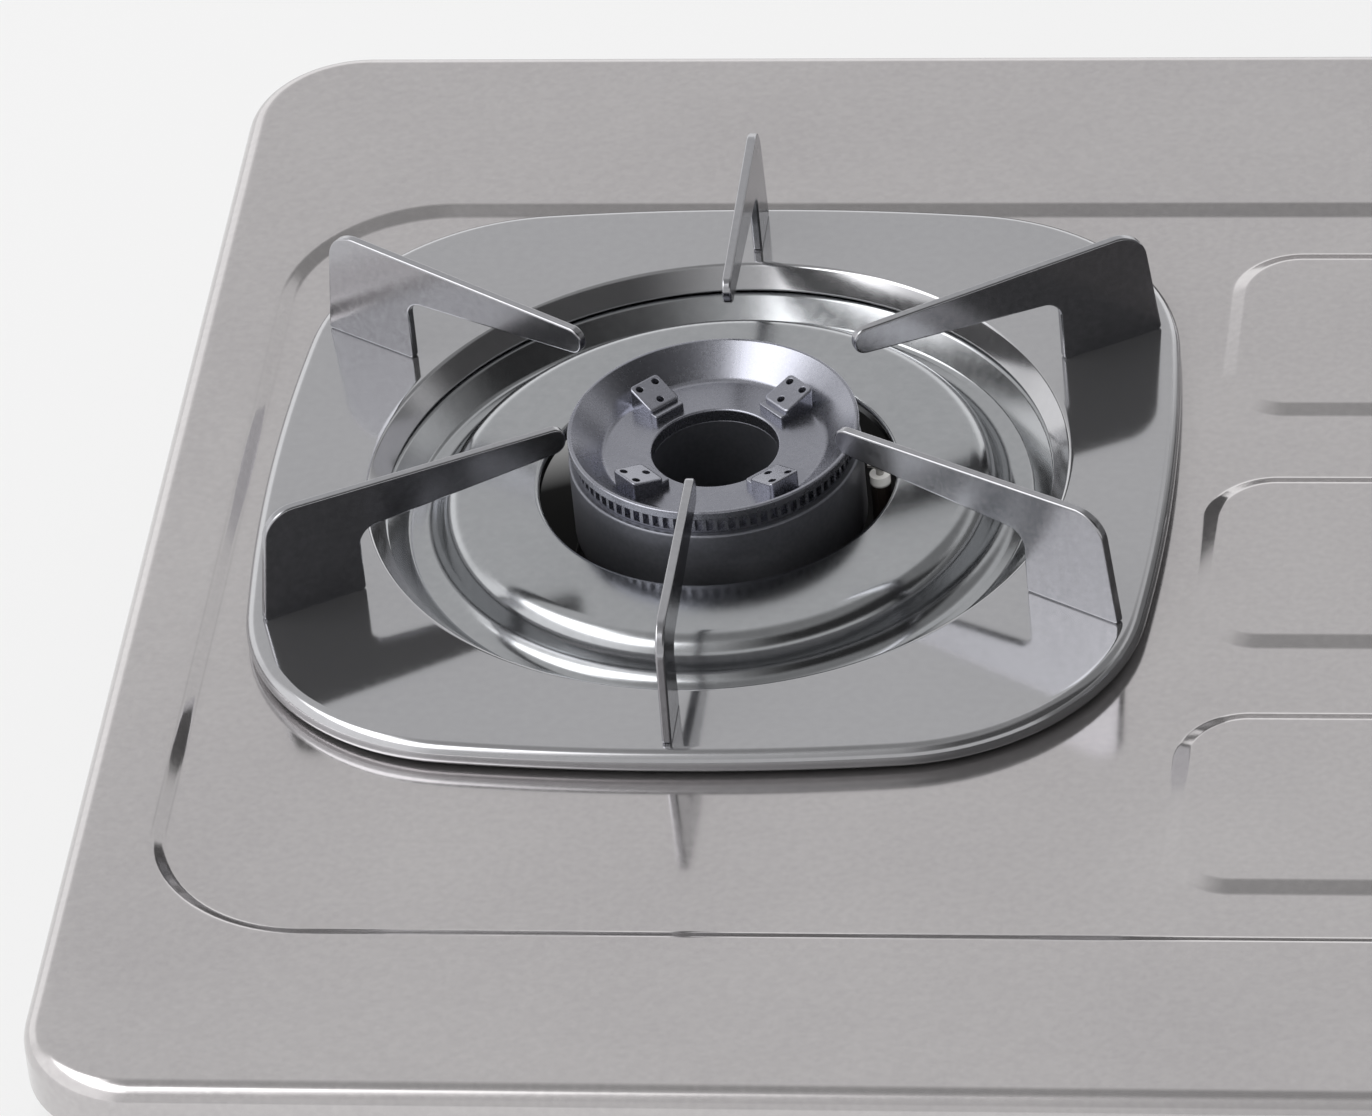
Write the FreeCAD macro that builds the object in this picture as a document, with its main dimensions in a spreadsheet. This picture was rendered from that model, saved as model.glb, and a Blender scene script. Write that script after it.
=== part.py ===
import FreeCAD, Part
import math
import os

import Sketcher
from FreeCAD import Placement, Rotation, Vector

# Frame: millimetres, +X to the right, +Y to the back, +Z up, the table is Z = 0 and the
# origin lies under the middle of the stove. Each burner has its own frame on its axis at
# the floor of the pressed recess, each tap has one on the outer face of the front panel.

SIZES = {
    # Top plate, one sheet pressed with a recess and three raised pads
    "plate_width": 700.0,
    "plate_depth": 360.0,
    "plate_corner": 25.0,
    "plate_sheet": 0.8,
    "plate_edge": 5.0,
    "skirt_depth": 13.0,
    "deck_height": 100.0,
    "recess_depth": 2.0,
    "recess_side": 17.6,
    "recess_front": 52.4,
    "recess_rear": 60.2,
    "recess_corner": 34.0,
    "press_slope": 50.0,
    "ridge_gap": 8.5,
    "ridge_depth": 57.0,
    "ridge_pitch": 79.0,
    "ridge_height": 2.0,
    "ridge_corner": 20.0,
    # Shared roundings
    "edge_round": 0.5,
    "press_round": 1.0,
    # Burner stations
    "trivet_side_gap": 6.9,
    "trivet_back_gap": 4.3,
    "axis_drop": 38.0,
    "reach": 22.0,
    # Sheet panels of the case
    "panel_inset": 12.0,
    "panel_sheet": 0.8,
    "panel_bend": 1.6,
    "panel_lip": 5.0,
    "panel_shelf": 16.0,
    "base_flange": 28.0,
    "corner_gap": 0.5,
    "vent_width": 4.0,
    "vent_height": 30.0,
    "vent_pitch": 12.0,
    "vent_count": 12.0,
    "vent_round": 1.9,
    # Rubber feet
    "foot_height": 24.0,
    "foot_radius": 14.0,
    "foot_base": 12.0,
    "foot_round": 1.5,
    "foot_neck": 5.0,
    "foot_nose": 4.0,
    "foot_plug": 5.0,
    "foot_head": 7.0,
    "foot_inset": 15.0,
    # Trivet, a bowed square plate with six upright blades
    "trivet_half": 96.5,
    "trivet_bow": 480.0,
    "trivet_corner": 52.0,
    "trivet_height": 5.9,
    "trivet_sheet": 1.0,
    "trivet_bend": 3.0,
    "trivet_hole": 74.5,
    "trivet_lip_round": 1.6,
    "trivet_curl": 4.5,
    "trivet_curl_round": 2.0,
    "blade_sheet": 2.0,
    "blade_height": 26.5,
    "blade_tip_height": 24.3,
    "blade_tip_radius": 33.1,
    "blade_nose": 6.0,
    "blade_nose_round": 2.9,
    "blade_arm": 11.4,
    "blade_crown": 7.0,
    "blade_throat": 4.0,
    "blade_lean": 3.0,
    "side_blade_foot": 103.5,
    "side_blade_leg": 23.0,
    "end_blade_foot": 93.0,
    "end_blade_leg": 14.0,
    # Drip bowl, a pressed ring round the burner
    "bowl_sheet": 0.6,
    "bowl_flange": 83.0,
    "bowl_wall": 68.6,
    "bowl_trough_outer": 66.0,
    "bowl_trough_inner": 60.5,
    "bowl_plateau": 57.0,
    "bowl_plateau_height": 5.0,
    "bowl_trough_depth": 4.0,
    "bowl_hole": 37.75,
    "bowl_collar": 3.0,
    "bowl_brow": 5.5,
    "bowl_heel": 4.5,
    "bowl_round": 1.8,
    "bowl_clearance": 3.0,
    # Burner cap with its flame slots and four pierced bosses
    "cap_radius": 30.8,
    "cap_rim_height": 18.0,
    "cap_floor_height": 12.0,
    "cap_floor_radius": 23.5,
    "cap_rim_wall": 0.8,
    "cap_hole": 13.4,
    "cap_skin": 2.2,
    "cap_wall": 1.6,
    "cap_hub_wall": 3.0,
    "rim_overhang": 1.2,
    "rim_slope": 0.6,
    "slot_count": 80.0,
    "slot_width": 1.1,
    "slot_height": 2.8,
    "slot_start": 0.5,
    "slot_cover": 0.2,
    "boss_radius": 20.3,
    "boss_length": 7.6,
    "boss_width": 7.6,
    "boss_height": 5.0,
    "boss_drop": 2.4,
    "boss_ledge": 1.5,
    "boss_ledge_height": 1.8,
    "boss_hole": 0.8,
    "pit_pitch": 2.1,
    "boss_count": 4.0,
    # Burner body, a casting with a mixing tube that runs to the tap
    "ring_seat_height": 12.0,
    "hub_seat_height": 9.0,
    "body_wall": 3.0,
    "body_neck_radius": 27.0,
    "body_bottom_drop": 54.0,
    "tube_radius": 11.0,
    "tube_wall": 3.0,
    "mouth_radius": 14.0,
    "mouth_length": 18.0,
    "mouth_gap": 3.0,
    "bell_length": 14.0,
    "ring_step": 0.2,
    "ring_drop": 6.0,
    "neck_drop": 12.0,
    "cast_round": 2.0,
    "lug_drop": 20.0,
    "lug_height": 4.0,
    "lug_width": 9.0,
    # Air shutter on the mouth of the mixing tube
    "shutter_wall": 1.1,
    "shutter_length": 12.0,
    "shutter_lead": 1.0,
    "window_width": 8.0,
    "window_length": 6.0,
    "window_start": 2.0,
    "shutter_handle": 6.0,
    # Gas tap, its plug, spindle and injector
    "tap_half": 11.0,
    "tap_length": 29.0,
    "tap_flange_radius": 14.0,
    "tap_flange": 3.0,
    "tap_neck_radius": 9.0,
    "tap_neck": 3.0,
    "tap_chamber": 8.0,
    "tap_chamber_start": 8.0,
    "tap_rear_wall": 3.0,
    "gas_bore": 3.0,
    "plug_length": 13.7,
    "plug_slot_depth": 9.0,
    "plug_way": 1.1,
    "plug_port": 1.6,
    "running_gap": 0.05,
    "end_gap": 0.3,
    "spindle_radius": 4.0,
    "spindle_inside": 7.0,
    "tongue_width": 6.0,
    "tongue_thick": 2.4,
    "tongue_length": 9.0,
    "tongue_gap": 0.1,
    "square_half": 2.8,
    "square_length": 9.0,
    "injector_hex": 6.0,
    "injector_hex_length": 6.0,
    "injector_nose": 4.0,
    "injector_nose_length": 8.0,
    "injector_jet": 0.5,
    "injector_well": 2.5,
    "injector_well_depth": 12.0,
    # Knob and bezel
    "knob_radius": 21.0,
    "knob_standoff": 6.0,
    "knob_skirt": 3.5,
    "knob_drum": 16.5,
    "knob_drum_height": 13.0,
    "knob_cavity": 14.0,
    "knob_cavity_depth": 9.0,
    "knob_hub": 6.5,
    "knob_hub_inset": 2.0,
    "knob_taper": 1.5,
    "knob_round": 1.0,
    "knob_bar": 8.0,
    "knob_bar_length": 31.0,
    "knob_bar_round": 3.5,
    "knob_groove": 1.5,
    "knob_groove_length": 9.0,
    "knob_groove_depth": 1.0,
    "bezel_inner": 22.5,
    "bezel_outer": 26.0,
    "bezel_depth": 2.0,
    # Gas line
    "pipe_radius": 6.0,
    "pipe_bore": 4.5,
    "pipe_rise": 18.0,
    "pipe_boss": 8.0,
    "pipe_end": 16.0,
    "branch_length": 12.0,
    "nipple_shank": 6.5,
    "nipple_inside": 15.0,
    "nipple_hex": 7.5,
    "nipple_hex_length": 6.0,
    "spigot_radius": 4.75,
    "spigot_groove": 0.6,
    "groove_width": 2.0,
    "groove_pitch": 8.0,
    "nut_hex": 9.0,
    "nut_length": 5.0,
    # Burner bracket
    "bracket_width": 84.0,
    "bracket_side": 12.0,
    # Spark parts
    "spark_x": 34.7,
    "spark_y": -1.6,
    "ceramic_radius": 2.2,
    "ceramic_collar": 3.2,
    "ceramic_collar_height": 3.0,
    "ceramic_top": 6.5,
    "ceramic_below": 6.0,
    "rod_radius": 0.8,
    "rod_bend": 1.6,
    "lead_radius": 1.5,
    "lead_bend": 10.0,
    "piezo_width": 30.0,
    "piezo_height": 22.0,
    "piezo_start": 5.0,
    "piezo_terminal": 3.0,
    "piezo_terminal_length": 4.0,
    "piezo_terminal_drop": 6.0,
}

SIDES = (("left", -1), ("right", 1))
BLADE_ANGLES = (30, 90, 150, 210, 270, 330)
FRONTWARD = Rotation(Vector(1, 0, 0), 90)
BACKWARD = Rotation(Vector(1, 0, 0), -90)
RIGHTWARD = Rotation(Vector(0, 1, 0), 90)
UPRIGHT = Rotation()
HANDLE_TURN = Rotation(Vector(0, 0, 1), 150)

doc = FreeCAD.newDocument("stove")
sheet = doc.addObject("Spreadsheet::Sheet", "Sizes")
for row, (alias, number) in enumerate(SIZES.items(), start=1):
    sheet.set(f"A{row}", alias)
    sheet.set(f"B{row}", str(number))
    sheet.setAlias(f"B{row}", alias)
doc.recompute()


class Size:
    """A length as a number together with the sheet formula that gives it."""

    def __init__(self, number, formula):
        self.number = number
        self.formula = formula

    def __add__(self, other):
        other = as_size(other)
        return Size(self.number + other.number, f"({self.formula} + {other.formula})")

    def __sub__(self, other):
        other = as_size(other)
        return Size(self.number - other.number, f"({self.formula} - {other.formula})")

    def __mul__(self, other):
        other = as_size(other)
        return Size(self.number * other.number, f"({self.formula} * {other.formula})")

    def __truediv__(self, other):
        other = as_size(other)
        return Size(self.number / other.number, f"({self.formula} / {other.formula})")

    def __neg__(self):
        return Size(-self.number, f"(0 - {self.formula})")

    def __radd__(self, other):
        return as_size(other) + self

    def __rsub__(self, other):
        return as_size(other) - self

    def __rmul__(self, other):
        return as_size(other) * self


def as_size(value):
    """Give a plain number the form of a Size."""
    return value if isinstance(value, Size) else Size(float(value), f"{float(value)}")


class SheetSizes:
    """The sheet's cells by alias."""

    def __getattr__(self, alias):
        return Size(SIZES[alias], f"Sizes.{alias}")


S = SheetSizes()


def bind(thing, **sizes):
    """Set each property to its number and tie it to its formula."""
    for name, value in sizes.items():
        value = as_size(value)
        counted = isinstance(getattr(thing, name), int)
        setattr(thing, name, round(value.number) if counted else value.number)
        thing.setExpression(name, value.formula)
    return thing


def place(thing, x=0, y=0, z=0, turn=UPRIGHT):
    """Put a piece at a point of the frame, with the point tied to the sheet."""
    at = [as_size(v) for v in (x, y, z)]
    thing.Placement = Placement(Vector(*(v.number for v in at)), turn)
    for axis, value in zip("xyz", at):
        thing.setExpression(f"Placement.Base.{axis}", value.formula)
    return thing


def cylinder(name, radius, height, x=0, y=0, z=0, turn=UPRIGHT):
    """A round bar that starts at a point and runs along its turned Z axis."""
    bar = bind(doc.addObject("Part::Cylinder", name), Radius=radius, Height=height)
    return place(bar, x, y, z, turn)


def block(name, width, depth, height, x=0, y=0, z=0, turn=UPRIGHT):
    """A block whose lower left front corner is at the point given."""
    solid = bind(doc.addObject("Part::Box", name), Length=width, Width=depth, Height=height)
    return place(solid, x, y, z, turn)


def hexagon(name, across, height, x=0, y=0, z=0, turn=UPRIGHT):
    """A hexagon bar measured from its axis to a corner."""
    bar = bind(doc.addObject("Part::Prism", name), Circumradius=across, Height=height)
    bar.Polygon = 6
    return place(bar, x, y, z, turn)


def fuse(name, pieces):
    """Join solids into one."""
    joined = doc.addObject("Part::MultiFuse", name)
    joined.Shapes = pieces
    joined.Refine = True
    return joined


def cut(name, base, tools):
    """Take the tools away from a solid."""
    result = doc.addObject("Part::Cut", name)
    result.Base = base
    result.Tool = tools[0] if len(tools) == 1 else fuse(f"{name}_tools", tools)
    result.Refine = True
    return result


def new_body(name):
    return doc.addObject("PartDesign::Body", name)


def origin_feature(body, role):
    return next(f for f in body.Origin.OriginFeatures if f.Role == role)


def new_sketch(body, plane, offset=0):
    """An empty sketch on a plane of the body's own origin, moved along its normal."""
    sketch = body.newObject("Sketcher::SketchObject", f"{body.Name}_sketch")
    sketch.AttachmentSupport = (origin_feature(body, plane), [""])
    sketch.MapMode = "FlatFace"
    offset = as_size(offset)
    sketch.AttachmentOffset = Placement(Vector(0, 0, offset.number), UPRIGHT)
    sketch.setExpression("AttachmentOffset.Base.z", offset.formula)
    return sketch


def pin_point(sketch, item, spot, x, y):
    """Fix one sketch point by its two coordinates."""
    for kind, value, axis in (("DistanceX", x, -2), ("DistanceY", y, -1)):
        value = as_size(value)
        if abs(value.number) < 1e-9:
            sketch.addConstraint(Sketcher.Constraint("PointOnObject", item, spot, axis))
        else:
            index = sketch.addConstraint(Sketcher.Constraint(kind, item, spot, value.number))
            sketch.setExpression(f"Constraints[{index}]", value.formula)


def fix_radius(sketch, item, radius):
    """Fix an arc's or circle's radius."""
    radius = as_size(radius)
    index = sketch.addConstraint(Sketcher.Constraint("Radius", item, radius.number))
    sketch.setExpression(f"Constraints[{index}]", radius.formula)


def outline(sketch, corners):
    """Draw a closed outline of straight runs from (x, y, rounding) corners."""
    corners = [tuple(as_size(v) for v in (*corner, 0)[:3]) for corner in corners]
    spots = [Vector(x.number, y.number, 0) for x, y, _ in corners]
    count = len(corners)
    starts, ends, arcs = [], [], []
    for i, (_, _, rounding) in enumerate(corners):
        before = (spots[i - 1] - spots[i]).normalize()
        after = (spots[(i + 1) % count] - spots[i]).normalize()
        if rounding.number == 0:
            ends.append(spots[i])
            starts.append(spots[i])
            arcs.append(None)
            continue
        half = before.getAngle(after) / 2
        reach = rounding.number / math.tan(half)
        ends.append(spots[i] + before * reach)
        starts.append(spots[i] + after * reach)
        middle = (before + after).normalize()
        centre = spots[i] + middle * (rounding.number / math.sin(half))
        crown = centre - middle * rounding.number
        arcs.append(Part.Arc(ends[i], crown, starts[i]).toShape().Curve)
    lines = [
        sketch.addGeometry(Part.LineSegment(starts[i], ends[(i + 1) % count])) for i in range(count)
    ]
    for i, (x, y, rounding) in enumerate(corners):
        incoming, outgoing = lines[i - 1], lines[i]
        if arcs[i] is None:
            sketch.addConstraint(Sketcher.Constraint("Coincident", incoming, 2, outgoing, 1))
            pin_point(sketch, outgoing, 1, x, y)
            continue
        bend = sketch.addGeometry(rounded_arc(arcs[i], ends[i], starts[i]))
        first, last = arc_order(sketch, bend, ends[i])
        corner = sketch.addGeometry(Part.Point(spots[i]), True)
        pin_point(sketch, corner, 1, x, y)
        sketch.addConstraint(Sketcher.Constraint("PointOnObject", corner, 1, incoming))
        sketch.addConstraint(Sketcher.Constraint("PointOnObject", corner, 1, outgoing))
        sketch.addConstraint(Sketcher.Constraint("Tangent", incoming, 2, bend, first))
        sketch.addConstraint(Sketcher.Constraint("Tangent", outgoing, 1, bend, last))
        fix_radius(sketch, bend, rounding)
    return sketch


def rounded_arc(circle, start, end):
    """The shorter arc of a circle between two points, drawn counter-clockwise."""
    flat = Part.Circle(circle.Center, Vector(0, 0, 1), circle.Radius)
    a, b = flat.parameter(start), flat.parameter(end)
    if (b - a) % (2 * math.pi) > math.pi:
        a, b = b, a
    return Part.ArcOfCircle(flat, a, b if b > a else b + 2 * math.pi)


def arc_order(sketch, bend, start):
    """Which ends of an arc come first and last along the outline."""
    begins = sketch.getPoint(bend, 1).distanceToPoint(start) < 1e-6
    return (1, 2) if begins else (2, 1)


def circle(sketch, x, y, radius):
    """Add a full circle."""
    x, y, radius = (as_size(v) for v in (x, y, radius))
    ring = Part.Circle(Vector(x.number, y.number, 0), Vector(0, 0, 1), radius.number)
    item = sketch.addGeometry(ring)
    pin_point(sketch, item, 3, x, y)
    fix_radius(sketch, item, radius)
    return sketch


def rectangle(sketch, x, y, width, height, corner=0):
    """Draw a rectangle about a centre, with rounded corners."""
    left, right = x - width / 2, x + width / 2
    low, high = y - height / 2, y + height / 2
    return outline(
        sketch,
        [(left, low, corner), (right, low, corner), (right, high, corner), (left, high, corner)],
    )


def feature(body, kind, sketch, **sizes):
    """Add a sketch based feature to a body."""
    step = body.newObject(f"PartDesign::{kind}", f"{body.Name}_{kind.lower()}")
    step.Profile = (sketch, [""])
    sketch.Visibility = False
    return bind(step, **sizes)


def pad(body, sketch, length, both_ways=False, backwards=False):
    """Raise a sketch."""
    step = feature(body, "Pad", sketch, Length=length)
    step.SideType = "Symmetric" if both_ways else "One side"
    step.Reversed = backwards
    return step


def pocket(body, sketch, length, both_ways=False, backwards=False):
    """Sink a sketch."""
    step = feature(body, "Pocket", sketch, Length=length)
    step.SideType = "Symmetric" if both_ways else "One side"
    step.Reversed = backwards
    return step


def ring_pattern(body, steps, count):
    """Repeat features round the body's Z axis."""
    pattern = body.newObject("PartDesign::PolarPattern", f"{body.Name}_ring")
    pattern.Originals = steps
    pattern.Axis = (origin_feature(body, "Z_Axis"), [""])
    pattern.Angle = 360
    bind(pattern, Occurrences=count)
    body.Tip = pattern
    return pattern


def row_pattern(body, steps, pitch, count):
    """Repeat features along the body's X axis."""
    pattern = body.newObject("PartDesign::LinearPattern", f"{body.Name}_row")
    pattern.Originals = steps
    pattern.Direction = (origin_feature(body, "X_Axis"), [""])
    bind(pattern, Length=pitch * (count - 1), Occurrences=count)
    body.Tip = pattern
    return pattern


def turned(name, corners):
    """A solid of revolution about Z from (radius, height, rounding) corners."""
    body = new_body(name)
    sketch = outline(new_sketch(body, "XZ_Plane"), corners)
    step = body.newObject("PartDesign::Revolution", f"{name}_turn")
    step.Profile = (sketch, [""])
    step.ReferenceAxis = (sketch, ["V_Axis"])
    step.Angle = 360
    sketch.Visibility = False
    return body


def round_edges(body, radius, wanted):
    """Fillet the edges of the body's tip that a test picks."""
    doc.recompute()
    base = body.Tip
    edges = [f"Edge{i}" for i, e in enumerate(base.Shape.Edges, start=1) if wanted(e)]
    step = body.newObject("PartDesign::Fillet", f"{body.Name}_round")
    step.Base = (base, edges)
    return bind(step, Radius=radius)


def at_height(height):
    """A test for edges that lie wholly at one height."""
    height = as_size(height).number
    return lambda e: max(abs(e.BoundBox.ZMin - height), abs(e.BoundBox.ZMax - height)) < 1e-4


def within(half_x, half_y):
    """A test for edges that stay inside a rectangle about the origin in plan."""
    x, y = half_x.number + 1e-4, half_y.number + 1e-4
    return lambda e: max(abs(e.BoundBox.XMin), e.BoundBox.XMax) < x and (
        max(abs(e.BoundBox.YMin), e.BoundBox.YMax) < y)


NODES = []


def node(label, solid, **where):
    """Keep a finished piece under its file name, placed in the frame when told where."""
    solid.Label = label
    if where:
        place(solid, **where)
    NODES.append(solid)
    return solid


STATION = S.plate_width / 2 - S.recess_side - S.trivet_side_gap - S.trivet_half
BURNER_Y = S.plate_depth / 2 - S.recess_rear - S.trivet_back_gap - S.trivet_half
RIDGE_LENGTH = 2 * (STATION - S.trivet_half - S.ridge_gap)
FLOOR_Z = S.deck_height - S.recess_depth
AXIS_Z = FLOOR_Z - S.axis_drop
PANEL_X = S.plate_width / 2 - S.panel_inset
PANEL_Y = S.plate_depth / 2 - S.panel_inset
PANEL_TOP = S.deck_height - S.plate_sheet
PIPE_Z = AXIS_Z + S.pipe_rise
PIPE_Y = S.tap_length / 2 + S.panel_sheet - PANEL_Y
BRACKET_Z = FLOOR_Z - S.body_bottom_drop
BOWL_SEAT = S.bowl_wall + S.bowl_clearance + S.bowl_sheet / 2


# Top plate
def pressed_solid(name, inset, drop, below):
    """The space under the pressed skin, moved in at the skirt and down elsewhere."""
    body = new_body(name)
    skin = S.deck_height - drop
    sketch = new_sketch(body, "XY_Plane", S.deck_height - S.skirt_depth - below)
    rectangle(sketch, as_size(0), as_size(0), S.plate_width - 2 * inset, S.plate_depth - 2 * inset,
              S.plate_corner - inset)
    pad(body, sketch, S.skirt_depth + below - drop)
    round_edges(body, S.plate_edge - inset, at_height(skin))
    recess = new_sketch(body, "XY_Plane", skin)
    recess_y = (S.recess_front - S.recess_rear) / 2
    rectangle(recess, as_size(0), recess_y, S.plate_width - 2 * S.recess_side,
              S.plate_depth - S.recess_front - S.recess_rear, S.recess_corner)
    sunk = pocket(body, recess, S.recess_depth)
    bind(sunk, TaperAngle=-S.press_slope)
    for step in (-1, 0, 1):
        ridge = new_sketch(body, "XY_Plane", skin - S.recess_depth)
        rectangle(ridge, as_size(0), recess_y + S.ridge_pitch * step, RIDGE_LENGTH, S.ridge_depth,
                  S.ridge_corner)
        raised = pad(body, ridge, S.ridge_height)
        bind(raised, TaperAngle=-S.press_slope)
    in_recess = within(S.plate_width / 2 - S.recess_side, S.plate_depth / 2 - S.recess_front)
    levels = (at_height(skin), at_height(skin - S.recess_depth))
    round_edges(body, S.press_round, lambda e: in_recess(e) and any(level(e) for level in levels))
    return body


def make_top_plate():
    """The pressed sheet that carries everything seen from above."""
    outer = pressed_solid("plate_outer", as_size(0), as_size(0), as_size(0))
    holes = new_sketch(outer, "XY_Plane", S.deck_height)
    for _, sign in SIDES:
        circle(holes, STATION * sign, BURNER_Y, BOWL_SEAT)
    pocket(outer, holes, S.skirt_depth)
    inner = pressed_solid("plate_inner", S.plate_sheet, S.plate_sheet, S.skirt_depth)
    node("top_plate", cut("top_plate", outer, [inner]), z=0)


# Case panels
def channel(body, plane, wall, sign, lip, shelf, low, high, length):
    """A bent sheet with a lip at the top and a shelf at the foot, raised both ways."""
    t = S.panel_sheet
    bend, inside = S.panel_bend, S.panel_bend - S.panel_sheet
    corners = [
        (wall, low, bend), (wall, high, bend), (wall - lip, high), (wall - lip, high - t),
        (wall - t, high - t, inside), (wall - t, low + t, inside), (wall - shelf, low + t),
        (wall - shelf, low),
    ]
    sketch = outline(new_sketch(body, plane), [(sign * c[0], *c[1:]) for c in corners])
    return pad(body, sketch, length, both_ways=True)


def foot_spots():
    """Plan positions of the four feet."""
    for side, sign_x in SIDES:
        for end, sign_y in (("front", -1), ("rear", 1)):
            yield f"{side}_{end}", (PANEL_X - S.foot_inset) * sign_x, (PANEL_Y - S.foot_inset) * sign_y


def make_side_panel(side, sign):
    """A side of the case, with the shelf that takes two feet."""
    body = new_body(f"{side}_panel_sheet")
    channel(body, "XZ_Plane", PANEL_X, sign, S.panel_lip, S.base_flange, S.foot_height, PANEL_TOP,
            2 * (PANEL_Y - S.panel_sheet))
    holes = new_sketch(body, "XY_Plane", S.foot_height + S.panel_sheet)
    for end in (-1, 1):
        circle(holes, (PANEL_X - S.foot_inset) * sign, (PANEL_Y - S.foot_inset) * end,
               S.foot_neck + S.running_gap)
    pocket(body, holes, S.panel_sheet)
    node(f"{side}_side_panel", body, z=0)


def make_end_panel(name, sign):
    """The front or rear of the case: a bent strip and the wall that runs on to the corners."""
    body = new_body(f"{name}_sheet")
    inner_half = PANEL_X - S.base_flange - S.corner_gap
    channel(body, "YZ_Plane", PANEL_Y, sign, S.panel_shelf, S.panel_shelf, S.foot_height, PANEL_TOP,
            2 * inner_half)
    wall = new_sketch(body, "XZ_Plane", -sign * PANEL_Y)
    rectangle(wall, as_size(0), (S.foot_height + PANEL_TOP) / 2, 2 * PANEL_X,
              PANEL_TOP - S.foot_height - 2 * S.panel_bend)
    pad(body, wall, S.panel_sheet, backwards=sign < 0)
    return body


def make_case():
    """The four panels, the feet and the two burner brackets."""
    for side, sign in SIDES:
        make_side_panel(side, sign)
    front = make_end_panel("front_panel", -1)
    openings = new_sketch(front, "XZ_Plane", PANEL_Y)
    for _, sign in SIDES:
        circle(openings, STATION * sign, AXIS_Z, S.tap_neck_radius + S.end_gap)
    pocket(front, openings, S.panel_sheet)
    node("front_panel", front, z=0)

    rear = make_end_panel("rear_panel", 1)
    inlet = new_sketch(rear, "XZ_Plane", -PANEL_Y)
    circle(inlet, as_size(0), PIPE_Z, S.nipple_shank + S.running_gap)
    pocket(rear, inlet, S.panel_sheet, backwards=True)
    vent = new_sketch(rear, "XZ_Plane", -PANEL_Y)
    first_vent = STATION - S.vent_pitch * (S.vent_count - 1) / 2
    rectangle(vent, first_vent, AXIS_Z, S.vent_width, S.vent_height, S.vent_round)
    vents = pocket(rear, vent, S.panel_sheet, backwards=True)
    row_pattern(rear, [vents], S.vent_pitch, S.vent_count)
    vent = new_sketch(rear, "XZ_Plane", -PANEL_Y)
    rectangle(vent, first_vent - 2 * STATION, AXIS_Z, S.vent_width, S.vent_height, S.vent_round)
    vents = pocket(rear, vent, S.panel_sheet, backwards=True)
    row_pattern(rear, [vents], S.vent_pitch, S.vent_count)
    node("rear_panel", rear, z=0)

    for name, x, y in foot_spots():
        foot = turned(f"foot_{name}", [
            (0, 0), (S.foot_base, 0, S.foot_round), (S.foot_radius, S.foot_height, S.foot_round),
            (S.foot_neck, S.foot_height), (S.foot_neck, S.foot_height + S.panel_sheet),
            (S.foot_head, S.foot_height + S.panel_sheet),
            (S.foot_nose, S.foot_height + S.panel_sheet + S.foot_plug),
            (0, S.foot_height + S.panel_sheet + S.foot_plug),
        ])
        node(f"foot_{name}", foot, x=x, y=y)

    for side, sign in SIDES:
        make_bracket(side, STATION * sign)


def make_bracket(side, x):
    """The inverted channel from the front panel to the rear one that the burner stands on."""
    body = new_body(f"{side}_bracket_sheet")
    half, t = S.bracket_width / 2, S.panel_sheet
    bend, inside = S.panel_bend, S.panel_bend - S.panel_sheet
    low = -S.bracket_side
    sketch = outline(new_sketch(body, "XZ_Plane"), [
        (-half, low), (-half, 0, bend), (half, 0, bend), (half, low), (half - t, low),
        (half - t, -t, inside), (t - half, -t, inside), (t - half, low),
    ])
    pad(body, sketch, 2 * (PANEL_Y - t), both_ways=True)
    air = new_sketch(body, "XY_Plane")
    circle(air, as_size(0), BURNER_Y, S.cap_hole)
    pocket(body, air, t)
    node(f"{side}_burner_bracket", body, x=x, z=BRACKET_Z)


# Trivet
def bowed_square(sketch, half, bow, corner):
    """A square outline with bowed sides and round corners, about the origin."""
    h, b, r = half.number, bow.number, corner.number
    span = b - h
    c = (-2 * span + math.sqrt(4 * span ** 2 - 8 * (span ** 2 - (b - r) ** 2))) / 4
    meet = math.atan2(c, c + span)
    quarter = math.pi / 2
    sides, rounds = [], []
    for k in range(4):
        turn = Rotation(Vector(0, 0, 1), 90 * k)
        side = Part.Circle(turn.multVec(Vector(-span, 0, 0)), Vector(0, 0, 1), b)
        sides.append(sketch.addGeometry(
            Part.ArcOfCircle(side, quarter * k - meet, quarter * k + meet)))
        round_corner = Part.Circle(turn.multVec(Vector(c, c, 0)), Vector(0, 0, 1), r)
        rounds.append(sketch.addGeometry(
            Part.ArcOfCircle(round_corner, quarter * k + meet, quarter * (k + 1) - meet)))
    for k in range(4):
        sketch.addConstraint(Sketcher.Constraint("Tangent", sides[k], 2, rounds[k], 1))
        sketch.addConstraint(Sketcher.Constraint("Tangent", rounds[k], 2, sides[(k + 1) % 4], 1))
        fix_radius(sketch, sides[k], bow)
        fix_radius(sketch, rounds[k], corner)
        inward = half - bow if k in (0, 1) else bow - half
        x, y = (inward, as_size(0)) if k in (0, 2) else (as_size(0), inward)
        pin_point(sketch, sides[k], 3, x, y)
    return sketch


def trivet_skin(name, inset):
    """The trivet plate's outside, or its hollow when moved in by the sheet."""
    body = new_body(name)
    sketch = bowed_square(new_sketch(body, "XY_Plane"), S.trivet_half - inset, S.trivet_bow - inset,
                          S.trivet_corner - inset)
    pad(body, sketch, S.trivet_height - inset)
    round_edges(body, S.trivet_bend - inset, at_height(S.trivet_height - inset))
    return body


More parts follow.
